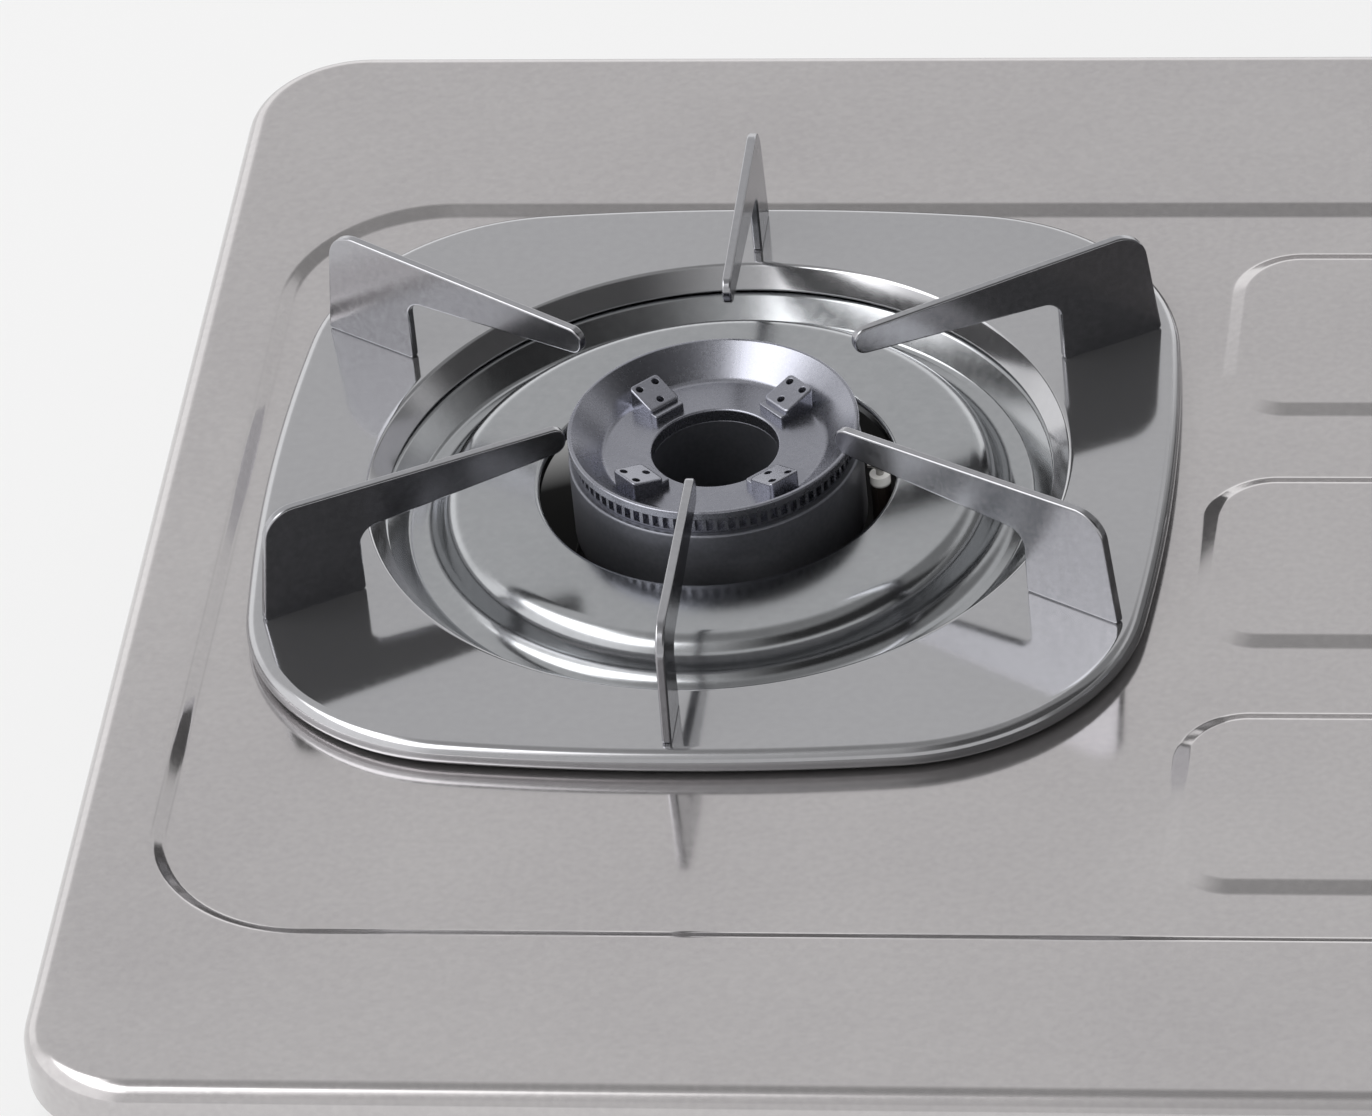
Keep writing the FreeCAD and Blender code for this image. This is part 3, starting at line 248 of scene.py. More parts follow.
def revolve(profile: np.ndarray, steps: int, closed: bool = True) -> Surface:
    """Profile (r, z) turned about Z: x = r cos t, y = r sin t over a full turn.

    Args:
        profile: n by 2 array of r and z.
        steps: points round the turn.
        closed: whether the profile's last point meets its first.

    Returns:
        The turned surface.
    """
    t = np.linspace(0, 2 * np.pi, steps, endpoint=False)
    r, z = profile[:, :1], profile[:, 1:]
    points = np.stack([r * np.cos(t), r * np.sin(t), z + 0 * t], axis=-1)
    return Surface(points.reshape(-1, 3), lattice(len(profile), steps, closed, True))


def sweep(line: Outline, profile: np.ndarray) -> Surface:
    """Open profile (out, z) carried along a closed line: line + out * normal, at height z.

    Args:
        line: the closed line in plan.
        profile: n by 2 array of the distance out from the line and the height.

    Returns:
        The swept surface.
    """
    plan = line.points[None] + profile[:, :1, None] * line.normals[None]
    height = np.broadcast_to(profile[:, 1:], plan.shape[:2])
    points = np.concatenate([plan, height[..., None]], axis=-1)
    return Surface(points.reshape(-1, 3), lattice(len(profile), len(line.points), False, True))


def fill(loops: Sequence[np.ndarray], height: float) -> Surface:
    """Flat sheet at one height between closed lines: the first is its edge, the others its holes.

    Args:
        loops: n by 2 arrays of plan points; a hole's line bends one way only.
        height: Z of the sheet.

    Returns:
        The triangles between the lines.
    """
    plan = np.concatenate(loops)
    starts = np.cumsum([0] + [len(loop) for loop in loops])
    edges = [np.stack([np.arange(a, b), np.roll(np.arange(a, b), -1)], axis=-1)
             for a, b in zip(starts[:-1], starts[1:])]
    spots, _, faces, *_ = delaunay_2d_cdt(
        [Vector(p) for p in plan.tolist()], np.concatenate(edges).tolist(), [], INSIDE, NEAR)
    flat, faces = np.array([tuple(p) for p in spots]), np.array(faces)
    owner = np.searchsorted(starts, np.arange(len(flat)), side="right")[faces]
    in_hole = (owner.min(axis=1) == owner.max(axis=1)) & (owner[:, 0] > 1)
    return Surface(np.column_stack([flat, np.full(len(flat), height)]), faces[~in_hole])


def slab(line: Outline, levels: tuple[float, float], inset: float, rounds: tuple[float, float],
         step: float = 15.0, guard: float = FINE_GUARD,
         holes: Sequence[np.ndarray] = ()) -> list[Surface]:
    """Plate between two levels: a wall with rounded edges carried along a line, and two flats.

    Args:
        line: the closed outline in plan.
        levels: heights of the lower and the upper flat.
        inset: how far inside the outline the flats end.
        rounds: radii of the lower and the upper edge.
        step: largest angle of one arc segment in degrees.
        guard: length of a short straight kept at both ends of each arc.
        holes: closed lines that stay open in the upper flat.

    Returns:
        The wall, the lower and the upper flat.
    """
    low, high = levels
    wall = rounded([(-inset, low), (0, low, rounds[0]), (0, high, rounds[1]), (-inset, high)],
                   closed=False, step=step, guard=guard)
    flat = line.moved(-inset)
    return [sweep(line, wall.points), fill([flat], low), fill([flat, *holes], high)]


def stood(patch: Surface, x: float, y: float, z: float) -> Surface:
    """The patch stood up to face the front: its X and Y become X and Z, its Z points to the front.

    Args:
        patch: the patch, lying flat.
        x: where its origin goes.
        y: where its origin goes.
        z: where its origin goes.

    Returns:
        The upright patch.
    """
    u, v, w = patch.points.T
    return Surface(np.stack([x + u, y - w, z + v], axis=-1), patch.faces)


def new_object(name: str, points: np.ndarray, faces: list[list[int]]) -> bpy.types.Object:
    """A mesh object in the scene.

    Args:
        name: name of the object and of its mesh.
        points: array of points in metres.
        faces: point numbers of each face.

    Returns:
        The object.
    """
    mesh = bpy.data.meshes.new(name)
    mesh.from_pydata(points.reshape(-1, 3).tolist(), [], faces)
    made = bpy.data.objects.new(name, mesh)
    bpy.context.scene.collection.objects.link(made)
    return made


@dataclass
class Piece:
    """A visible piece: its patches, the body it rides on and the nodes that it stands for."""

    name: str
    patches: list[Surface]
    body: str
    slot: str
    stands_for: tuple[str, ...] = ()

    def build(self, finish: "Finish", place: Sequence[float] = (0, 0, 0)) -> None:
        """Joins the patches into one mesh, welds its seams and turns its faces outwards.

        Args:
            finish: what the piece is made of.
            place: shift in millimetres.
        """
        starts = np.cumsum([0] + [len(p.points) for p in self.patches])
        points = (np.concatenate([p.points for p in self.patches]) + np.asarray(place, float)) * MM
        faces = [row for p, s in zip(self.patches, starts) for row in (p.faces + s).tolist()]
        piece = new_object(self.name, points, faces)
        mesh = piece.data
        work = bmesh.new()
        work.from_mesh(mesh)
        bmesh.ops.remove_doubles(work, verts=work.verts, dist=WELD)
        bmesh.ops.dissolve_degenerate(work, edges=work.edges, dist=SLIVER)
        bmesh.ops.recalc_face_normals(work, faces=work.faces)
        work.to_mesh(mesh)
        work.free()
        mesh.shade_smooth()
        mesh.set_sharp_from_angle(angle=SHARP_ANGLE)
        mesh.materials.append(finish.material())
        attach(piece, self.body)
        if self.stands_for:
            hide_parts(*self.stands_for)
        log.info("%s: %d faces", self.name, len(mesh.polygons))


# Finishes
@dataclass
class Graph:
    """A new material and its node tree.

    Attributes:
        name: name of the material.
        bare: whether the tree starts empty.
        material: the material.
    """

    name: str
    bare: bool = False
    material: bpy.types.Material = field(init=False)

    def __post_init__(self) -> None:
        """Makes the material."""
        self.material = bpy.data.materials.new(self.name)
        self.material.use_nodes = True
        if self.bare:
            self.material.node_tree.nodes.clear()

    def wire(self, node: bpy.types.Node, inputs: dict[str | int, object]) -> None:
        """Gives a node its input values and links.

        Args:
            node: the node.
            inputs: by input name or number, a value or the socket that leads to it.
        """
        for key, value in inputs.items():
            if isinstance(value, bpy.types.NodeSocket):
                self.material.node_tree.links.new(value, node.inputs[key])
            else:
                node.inputs[key].default_value = value

    def add(self, kind: str, inputs: dict[str | int, object] | None = None,
            **options: str) -> bpy.types.Node:
        """A new node.

        Args:
            kind: Blender's name of the node's type.
            inputs: by input name or number, a value or the socket that leads to it.
            options: the node's own settings.

        Returns:
            The node.
        """
        node = self.material.node_tree.nodes.new(kind)
        for option, value in options.items():
            setattr(node, option, value)
        self.wire(node, inputs or {})
        return node

    def math(self, operation: str, *terms: object) -> bpy.types.NodeSocket:
        """Result of one Math node on values or sockets."""
        return self.add("ShaderNodeMath", dict(enumerate(terms)), operation=operation).outputs[0]

    def noise(self, place: bpy.types.NodeSocket, size: float, detail: float) -> bpy.types.NodeSocket:
        """Noise with patches of that size in millimetres."""
        inputs = {"Vector": place, "Scale": 1 / (size * MM), "Detail": detail}
        return self.add("ShaderNodeTexNoise", inputs).outputs["Fac"]

    def mixed(self, share: bpy.types.NodeSocket, first: bpy.types.Node,
              second: bpy.types.Node) -> bpy.types.Material:
        """Ends the tree with a mix of two shaders.

        Args:
            share: the second shader's share.
            first: node of the first shader.
            second: node of the second shader.

        Returns:
            The finished material.
        """
        mix = self.add("ShaderNodeMixShader", {"Fac": share, 1: first.outputs[0], 2: second.outputs[0]})
        self.add("ShaderNodeOutputMaterial", {"Surface": mix.outputs[0]})
        return self.material


@dataclass(frozen=True)
class Finish:
    """A material with small scale grain, broad mottling and a bump, on Object coordinates.

    Attributes:
        name: name of the material.
        dark: base colour in the pattern's low places.
        light: base colour in its high places.
        metallic: 1 for bare metal, 0 for paint, plastic, rubber and ceramic.
        rough: roughness in the pattern's low and high places.
        grain_size: size of one grain across, in millimetres.
        mottle_size: size of the broad patches, in millimetres.
        relief: height of the bump in millimetres.
        grain: direction of the grain.
        foot: painted shade colour below foot_top, if the finish is drawn darker low down.
        foot_top: height where the painted shade ends, in millimetres.
        foot_blend: half the height over which the painted shade fades.
        spread: pattern values at which the low and the high places begin.
        detail: octaves of the grain's and of the mottling's noise.
    """

    name: str
    dark: Colour
    light: Colour
    metallic: float
    rough: tuple[float, float]
    grain_size: float
    mottle_size: float
    relief: float
    grain: Grain = Grain.SPECKLED
    foot: Colour | None = None
    foot_top: float = 0.0
    foot_blend: float = 0.3
    spread: tuple[float, float] = (0.3, 0.7)
    detail: tuple[float, float] = (3.0, 4.0)

    def material(self) -> bpy.types.Material:
        """The material, made at its first use.

        Returns:
            A node material: colour and roughness follow the mean of the grain and the mottling.
        """
        title = f"{self.name}_finish"
        found = bpy.data.materials.get(title)
        if found is not None:
            return found
        graph = Graph(title)
        place = graph.add("ShaderNodeTexCoord").outputs["Object"]
        along = graph.add("ShaderNodeMapping", {"Vector": place, "Scale": self.grain.value}).outputs["Vector"]
        fine = graph.noise(along, self.grain_size, self.detail[0])
        broad = graph.noise(place, self.mottle_size, self.detail[1])
        pattern = graph.math("MULTIPLY_ADD", fine, 0.5, graph.math("MULTIPLY", broad, 0.5))
        tint = graph.add("ShaderNodeValToRGB", {"Fac": pattern})
        for stop, at, colour in zip(tint.color_ramp.elements, self.spread, (self.dark, self.light)):
            stop.position = at
            stop.color = (*colour, 1)
        gloss = graph.add("ShaderNodeMapRange", {
            "Value": pattern, "From Min": self.spread[0], "From Max": self.spread[1],
            "To Min": self.rough[0], "To Max": self.rough[1],
        })
        shader = graph.material.node_tree.nodes["Principled BSDF"]
        graph.wire(shader, {
            "Metallic": self.metallic, "Roughness": gloss.outputs["Result"],
            "Base Color": self.tone(graph, place, tint.outputs["Color"]),
        })
        if self.relief > 0:
            bump = graph.add("ShaderNodeBump", {
                "Strength": 1.0, "Distance": self.relief * MM, "Height": fine})
            graph.wire(shader, {"Normal": bump.outputs["Normal"]})
        return graph.material

    def tone(self, graph: Graph, place: bpy.types.NodeSocket,
             tint: bpy.types.NodeSocket) -> bpy.types.NodeSocket:
        """The base colour: the tint, or below foot_top the foot's painted shade colour, fading into the tint.

        Args:
            graph: the material's node tree.
            place: the Object coordinates.
            tint: the upper colour.

        Returns:
            The socket to use as base colour.
        """
        if self.foot is None:
            return tint
        parts = graph.add("ShaderNodeSeparateXYZ", {0: place})
        rise = graph.add("ShaderNodeMapRange", {
            "Value": parts.outputs["Z"], "From Min": (self.foot_top - self.foot_blend) * MM,
            "From Max": (self.foot_top + self.foot_blend) * MM,
        })
        blend = graph.add("ShaderNodeMix", {
            "Factor": rise.outputs["Result"], "A": (*self.foot, 1), "B": tint,
        }, data_type="RGBA")
        return blend.outputs["Result"]

    def dress(self, *names: str) -> None:
        """Gives carried-over nodes this finish.

        Args:
            names: names of the nodes.
        """
        for name in names:
            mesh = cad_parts[name].data
            mesh.materials.clear()
            mesh.materials.append(self.material())
            log.info("%s: %s", name, self.name)


TOP_STEEL = Finish("top_steel", (0.52, 0.50, 0.505), (0.60, 0.58, 0.58), metallic=0.88,
                   rough=(0.09, 0.15), grain_size=1.6, mottle_size=60.0, relief=0.0006)
CASE_STEEL = Finish("case_steel", (0.48, 0.47, 0.46), (0.57, 0.56, 0.55), metallic=1.0,
                    rough=(0.28, 0.4), grain_size=0.6, mottle_size=60.0, relief=0.002,
                    grain=Grain.BRUSHED)
ZINC_STEEL = Finish("zinc_steel", (0.42, 0.44, 0.46), (0.62, 0.63, 0.64), metallic=1.0,
                    rough=(0.35, 0.55), grain_size=6.0, mottle_size=18.0, relief=0.004)
TRIVET_STEEL = Finish("trivet_steel", (0.45, 0.45, 0.465), (0.49, 0.49, 0.505), metallic=0.9,
                      rough=(0.07, 0.11), grain_size=2.0, mottle_size=80.0, relief=0.0002)
BLADE_STEEL = Finish("blade_steel", (0.38, 0.38, 0.4), (0.44, 0.44, 0.46), metallic=1.0,
                     rough=(0.16, 0.24), grain_size=1.4, mottle_size=30.0, relief=0.0002)
BOWL_STEEL = Finish("bowl_steel", (0.40, 0.41, 0.425), (0.46, 0.47, 0.485), metallic=1.0,
                    rough=(0.14, 0.19), grain_size=2.0, mottle_size=50.0, relief=0.0001)
CAP_METAL = Finish("cap_metal", (0.29, 0.295, 0.335), (0.35, 0.355, 0.4), metallic=0.95,
                   rough=(0.24, 0.3), grain_size=0.8, mottle_size=14.0, relief=0.0002)
CAST_METAL = Finish("cast_metal", (0.18, 0.185, 0.21), (0.25, 0.255, 0.285), metallic=0.85,
                    rough=(0.36, 0.44), grain_size=0.9, mottle_size=18.0, relief=0.0006)
# Near-black enamel for the burner bracket, chosen as painted shade: it keeps the inside of the case dark
# where it shows round each burner.
SHADE_BLACK_ENAMEL = Finish("shade_black_enamel", (0.010, 0.010, 0.011), (0.02, 0.02, 0.021), metallic=0.0,
                      rough=(0.35, 0.5), grain_size=1.2, mottle_size=25.0, relief=0.004)
# Painted shade: the spark ceramic is near black below foot_top, where it sits down in the dark gap round the
# burner.
CERAMIC_WITH_PAINTED_SHADE = Finish("ceramic", (0.78, 0.77, 0.74), (0.86, 0.85, 0.83), metallic=0.0,
                 rough=(0.12, 0.25), grain_size=0.6, mottle_size=6.0, relief=0.001,
                 foot=(0.02, 0.016, 0.014), foot_top=102.4)
SPARK_STEEL = Finish("spark_steel", (0.3, 0.29, 0.28), (0.5, 0.49, 0.48), metallic=1.0,
                     rough=(0.25, 0.45), grain_size=0.5, mottle_size=5.0, relief=0.002)
LEAD_COVER = Finish("lead_cover", (0.42, 0.05, 0.035), (0.55, 0.09, 0.07), metallic=0.0,
                    rough=(0.5, 0.62), grain_size=0.5, mottle_size=10.0, relief=0.002)
BRASS = Finish("brass", (0.5, 0.34, 0.12), (0.66, 0.47, 0.2), metallic=1.0,
               rough=(0.22, 0.4), grain_size=0.8, mottle_size=12.0, relief=0.003)
RUBBER = Finish("foot_rubber", (0.018, 0.018, 0.019), (0.04, 0.04, 0.042), metallic=0.0,
                rough=(0.6, 0.8), grain_size=0.5, mottle_size=9.0, relief=0.01)
KNOB_PLASTIC = Finish("knob_plastic", (0.016, 0.016, 0.018), (0.032, 0.032, 0.035), metallic=0.0,
                      rough=(0.3, 0.42), grain_size=0.35, mottle_size=10.0, relief=0.004)
BEZEL_CHROME = Finish("bezel_chrome", (0.66, 0.67, 0.68), (0.74, 0.75, 0.76), metallic=1.0,
                      rough=(0.05, 0.1), grain_size=0.8, mottle_size=12.0, relief=0.0005)
WHITE_INK = Finish("white_ink", (0.72, 0.72, 0.70), (0.8, 0.8, 0.78), metallic=0.0,
                   rough=(0.4, 0.5), grain_size=0.4, mottle_size=5.0, relief=0.002)
BLACK_INK = Finish("black_ink", (0.015, 0.015, 0.016), (0.03, 0.03, 0.032), metallic=0.0,
                   rough=(0.45, 0.6), grain_size=0.4, mottle_size=5.0, relief=0.002)
IGNITER_PLASTIC = Finish("igniter_plastic", (0.03, 0.03, 0.032), (0.06, 0.06, 0.063), metallic=0.0,
                         rough=(0.4, 0.55), grain_size=0.5, mottle_size=9.0, relief=0.006)


# Top plate
@dataclass
class TopPlate:
    """The pressed sheet: skirt, shallow recess, three raised pads and two round openings."""

    width: float = 700.0
    depth: float = 360.0
    corner: float = 25.0
    sheet: float = 0.8
    edge: float = 5.0
    skirt: float = 13.0
    hem_round: float = 0.3
    recess_drop: float = 2.0
    recess_side: float = 17.0
    recess_front: float = 49.7
    recess_rear: float = 58.5
    recess_corner: float = 35.0
    wall_run: float = 3.201
    press_round: float = 3.5
    pad_length: float = 252.2
    pad_depth: float = 58.9
    pad_pitch: float = 79.9
    pad_height: float = 1.4
    pad_run: float = 3.847
    pad_corner: float = 15.0
    opening: float = 71.9
    opening_round: float = 0.12
    opening_steps: int = 180

    @property
    def deck_in(self) -> float:
        """How far inside the plate's outline its flat deck begins."""
        return self.edge + 2 * GUARD

    @property
    def floor_out(self) -> float:
        """Radius at which the recess's flat floor ends round an opening."""
        return self.opening + 2 * GUARD

    @property
    def recess_y(self) -> float:
        """Plan position of the recess's middle."""
        return (self.recess_front - self.recess_rear) / 2

    def rim_patch(self) -> Surface:
        """Rounded edge and skirt: the sheet's section carried round the plate.

        Returns:
            The edge with both sides of the skirt.
        """
        low, under = DECK_Z - self.skirt, DECK_Z - self.sheet
        section = rounded([
            (-self.deck_in, under), (-self.sheet, under, self.edge - self.sheet),
            (-self.sheet, low, self.hem_round), (0, low, self.hem_round),
            (0, DECK_Z, self.edge), (-self.deck_in, DECK_Z),
        ], closed=False, guard=GUARD)
        return sweep(self.border(), section.points)

    def border(self) -> Outline:
        """The plate's outline in plan."""
        return rounded_box(self.width, self.depth, self.corner)

    def recess(self) -> Outline:
        """The recess's outline at the deck."""
        depth = self.depth - self.recess_front - self.recess_rear
        return rounded_box(self.width - 2 * self.recess_side, depth, self.recess_corner, 0, self.recess_y)

    def pads(self) -> list[Outline]:
        """The three raised pads' outlines at the recess's floor."""
        spots = [self.recess_y + k * self.pad_pitch for k in (-1, 0, 1)]
        return [rounded_box(self.pad_length, self.pad_depth, self.pad_corner, 0, y) for y in spots]

    def step(self, low: float, high: float, outward: float) -> np.ndarray:
        """Section of a pressed wall between two levels, rounded at both.

        Args:
            low: height at the line that the section is carried along.
            high: height at the wall's other end.
            outward: plan run of the wall, negative where it leans inwards.

        Returns:
            n by 2 array of distance out and height.
        """
        lead = math.copysign(self.press_round / 2, outward)
        return rounded([(-lead, low), (0, low, self.press_round), (outward, high, self.press_round),
                        (outward + lead, high)], closed=False, step=4, guard=GUARD / 2).points

    def skin(self, drop: float) -> list[Surface]:
        """The upper or lower face of the pressed sheet, without its edges.

        Args:
            drop: depth of the face below the sheet's upper side.

        Returns:
            The deck, the recess's wall and floor, and the pads' walls and tops.
        """
        deck, floor = DECK_Z - drop, DECK_Z - self.recess_drop - drop
        lead = self.press_round / 2
        recess, pads = self.recess(), self.pads()
        openings = [ring_line(self.floor_out, self.opening_steps).points + side.seat[:2] for side in Side]
        holes = [pad.moved(lead) for pad in pads] + openings
        patches = [
            fill([self.border().moved(-self.deck_in), recess.moved(lead)], deck),
            sweep(recess, self.step(deck, floor, -self.wall_run)),
            fill([recess.moved(-self.wall_run - lead), *holes], floor),
        ]
        top = floor + self.pad_height
        rise = self.step(floor, top, -self.pad_run)
        for pad in pads:
            patches += [sweep(pad, rise), fill([pad.moved(-self.pad_run - lead)], top)]
        return patches

    def opening_edges(self) -> list[Surface]:
        """The sheet's edge round each opening: its section turned about the burner's axis.

        Returns:
            One edge for each burner.
        """
        high, low = FLOOR_Z, FLOOR_Z - self.sheet
        section = rounded([
            (self.floor_out, high), (self.opening, high, self.opening_round),
            (self.opening, low, self.opening_round), (self.floor_out, low),
        ], closed=False, step=45)
        edge = revolve(section.points, self.opening_steps, False)
        return [edge.moved((*side.seat[:2], 0)) for side in Side]

    def build(self) -> None:
        """Makes the plate and lays it on the case."""
        patches = [self.rim_patch(), *self.skin(0), *self.skin(self.sheet), *self.opening_edges()]
        Piece("pressed_top", patches, "stove", "top_steel", ("top_plate",)).build(TOP_STEEL)


# Trivet
@dataclass
class Trivet:
    """The bowed square plate with a rolled rim and six upright blades."""

    side: Side
    half: float = 96.5
    bow: float = 480.0
    corner: float = 52.0
    arc_steps: int = 25
    height: float = 5.9
    sheet: float = 1.0
    bend: float = 3.0
    roll: float = 1.6
    roll_in: float = 2.6
    stand: float = 0.9
    edge_round: float = 0.3
    hole: float = 74.5
    hole_steps: int = 240
    lip_round: float = 1.6
    lip_under: float = 0.55
    lip_in: float = 3.9
    blade_sheet: float = 2.0
    blade_edge: float = 0.45
    blade_height: float = 26.5
    tip_height: float = 24.3
    tip_radius: float = 33.1
    nose: float = 6.0
    nose_round: float = 2.9
    arm: float = 11.4
    crown: float = 7.0
    throat: float = 4.0
    lean: float = 3.0
    side_foot: float = 103.5
    side_leg: float = 23.0
    end_foot: float = 93.0
    end_leg: float = 14.0
    foot_corner: float = 0.8
    angles: tuple[int, ...] = (30, 90, 150, 210, 270, 330)
    end_angles: tuple[int, ...] = (90, 270)

    def outline(self) -> Outline:
        """Bowed square: four flat arcs about far centres joined by four tangent corner arcs.

        A side's arc has its centre at (half - bow, 0) and a corner's at (c, c), where the two
        centres are bow - corner apart; one side and one corner are turned by quarter turns.

        Returns:
            The plate's line.
        """
        n, span = self.arc_steps, self.bow - self.half
        c = (math.sqrt(2 * (self.bow - self.corner) ** 2 - span ** 2) - span) / 2
        meet = math.atan2(c, c + span)
        angles = np.concatenate([np.linspace(-meet, meet, n),
                                 np.linspace(meet, math.pi / 2 - meet, n)[1:-1]])
        radius = np.repeat([self.bow, self.corner], [n, n - 2])
        centre = np.repeat([[-span, 0.0], [c, c]], [n, n - 2], axis=0)
        normals = np.stack([np.cos(angles), np.sin(angles)], axis=-1)
        points = centre + radius[:, None] * normals
        spins = [np.linalg.matrix_power([[0, -1], [1, 0]], k) for k in range(4)]
        return Outline(np.concatenate([points @ s.T for s in spins]),
                       np.concatenate([normals @ s.T for s in spins]))

    def rim(self) -> np.ndarray:
        """Section of the rim: bent down from the plate and rolled in at its foot.

        Returns:
            n by 2 array of the distance out from the outline and the height.
        """
        inner, under = self.bend + 2 * GUARD, self.height - self.sheet
        inside = self.stand + self.sheet
        return rounded([
            (-inner, under), (-self.sheet, under, self.bend - self.sheet),
            (-self.sheet, inside, self.roll - self.sheet), (-self.roll_in, inside, self.edge_round),
            (-self.roll_in, self.stand, self.edge_round), (0, self.stand, self.roll),
            (0, self.height, self.bend), (-inner, self.height),
        ], closed=False, guard=GUARD).points

    def lip(self, out: float) -> np.ndarray:
        """Section of the lip: a cone that goes down and in from the hole's edge.

        Args:
            out: radius at which the flat plate begins.

        Returns:
            n by 2 array of r and z.
        """
        top, under = self.height, self.height - self.sheet
        tip, low = self.hole - self.lip_in, self.lip_under + self.sheet
        drop = top - low
        across = self.sheet / math.hypot(self.lip_in, drop) * np.array([drop, -self.lip_in])
        edge = np.array([tip, low]) + across
        heel = edge[0] + (under - edge[1]) * self.lip_in / drop
        return rounded([
            (out, top), (self.hole, top, self.lip_round), (tip, low, self.edge_round),
            (*edge, self.edge_round), (heel, under, self.lip_round - self.sheet), (out, under),
        ], closed=False, guard=FINE_GUARD).points

    def plate(self) -> list[Surface]:
        """The plate: rim carried round the outline, lip turned round the hole, flats between.

        Returns:
            The rim, the upper and lower flat and the lip.
        """
        line, top, under = self.outline(), self.height, self.height - self.sheet
        out = self.hole + self.lip_round + 2 * GUARD
        loops = [line.moved(-self.bend - 2 * GUARD), ring_line(out, self.hole_steps).points]
        return [sweep(line, self.rim()), fill(loops, top), fill(loops, under),
                revolve(self.lip(out), self.hole_steps, False)]

    def blade(self, foot: float, leg: float) -> list[Surface]:
        """One blade along X: its outline as a sheet with softened edges.

        Args:
            foot: how far out the blade's foot reaches.
            leg: width of the leg at the foot.

        Returns:
            Two flats and the rounded edge between them, standing on Z = 0.
        """
        inner = foot - leg
        line = rounded([
            (inner, 0, self.foot_corner), (foot, 0, self.foot_corner),
            (foot - self.lean, self.blade_height, self.crown),
            (self.tip_radius, self.tip_height, self.nose_round),
            (self.tip_radius, self.tip_height - self.nose, self.nose_round),
            (inner, self.blade_height - self.arm, self.throat),
        ], step=6)
        half, edge = self.blade_sheet / 2, self.blade_edge
        patches = slab(line, (-half, half), edge + GUARD, (edge, edge), step=18)
        return [stood(patch, 0, 0, 0) for patch in patches]

    def build(self) -> None:
        """Makes the plate and its blades on the trivet's body."""
        body = self.side.node("trivet")
        name = self.side.node("trivet_plate")
        Piece(f"{name}_skin", self.plate(), body, "trivet_steel", (name,)).build(TRIVET_STEEL, self.side.seat)
        seat = self.side.seat + (0, 0, self.height)
        for number, angle in enumerate(self.angles, start=1):
            at_end = angle in self.end_angles
            blade = self.blade(self.end_foot if at_end else self.side_foot,
                               self.end_leg if at_end else self.side_leg)
            patches = [patch.turned(angle) for patch in blade]
            name = self.side.node(f"trivet_blade_{number}")
            Piece(f"{name}_sheet", patches, body, "trivet_steel", (name,)).build(BLADE_STEEL, seat)


# Drip bowl
@dataclass
class DripBowl:
    """The pressed ring: flange, trough and plateau round the burner."""

    side: Side
    sheet: float = 0.6
    flange: float = 83.0
    wall: float = 70.9
    trough_outer: float = 66.0
    trough_inner: float = 60.5
    plateau: float = 57.0
    plateau_height: float = 5.0
    trough_depth: float = 4.0
    hole: float = 37.75
    collar: float = 3.0
    brow: float = 5.5
    heel: float = 4.5
    bend: float = 1.8
    edge_round: float = 0.2
    steps: int = 288

    def section(self) -> np.ndarray:
        """The sheet's section: its upper line out to in, then its lower line back.

        Returns:
            n by 2 array of r and z.
        """
        t, high, low, r = self.sheet, self.plateau_height, -self.trough_depth, self.bend
        half, foot, soft = t / 2, high - self.collar, self.edge_round
        return rounded([
            (self.flange, 0), (self.flange, t, soft), (self.wall, t, r), (self.trough_outer, low, r),
            (self.trough_inner, low, self.heel), (self.plateau, high, self.brow),
            (self.hole, high, 2 * t), (self.hole, foot, soft), (self.hole + t, foot, soft),
            (self.hole + t, high - t, t), (self.plateau - half, high - t, self.brow - t),
            (self.trough_inner - half, low - t, self.heel + t),
            (self.trough_outer + half, low - t, r + t), (self.wall + half, 0, r - t),
        ], step=6, guard=FINE_GUARD).points

    def build(self) -> None:
        """Makes the ring, its section turned about the burner's axis, on the bowl's body."""
        name = self.side.node("drip_bowl")
        ring = revolve(self.section(), self.steps)
        Piece(f"{name}_skin", [ring], self.side.node("bowl"), "bowl_steel", (name,)).build(
            BOWL_STEEL, self.side.seat)


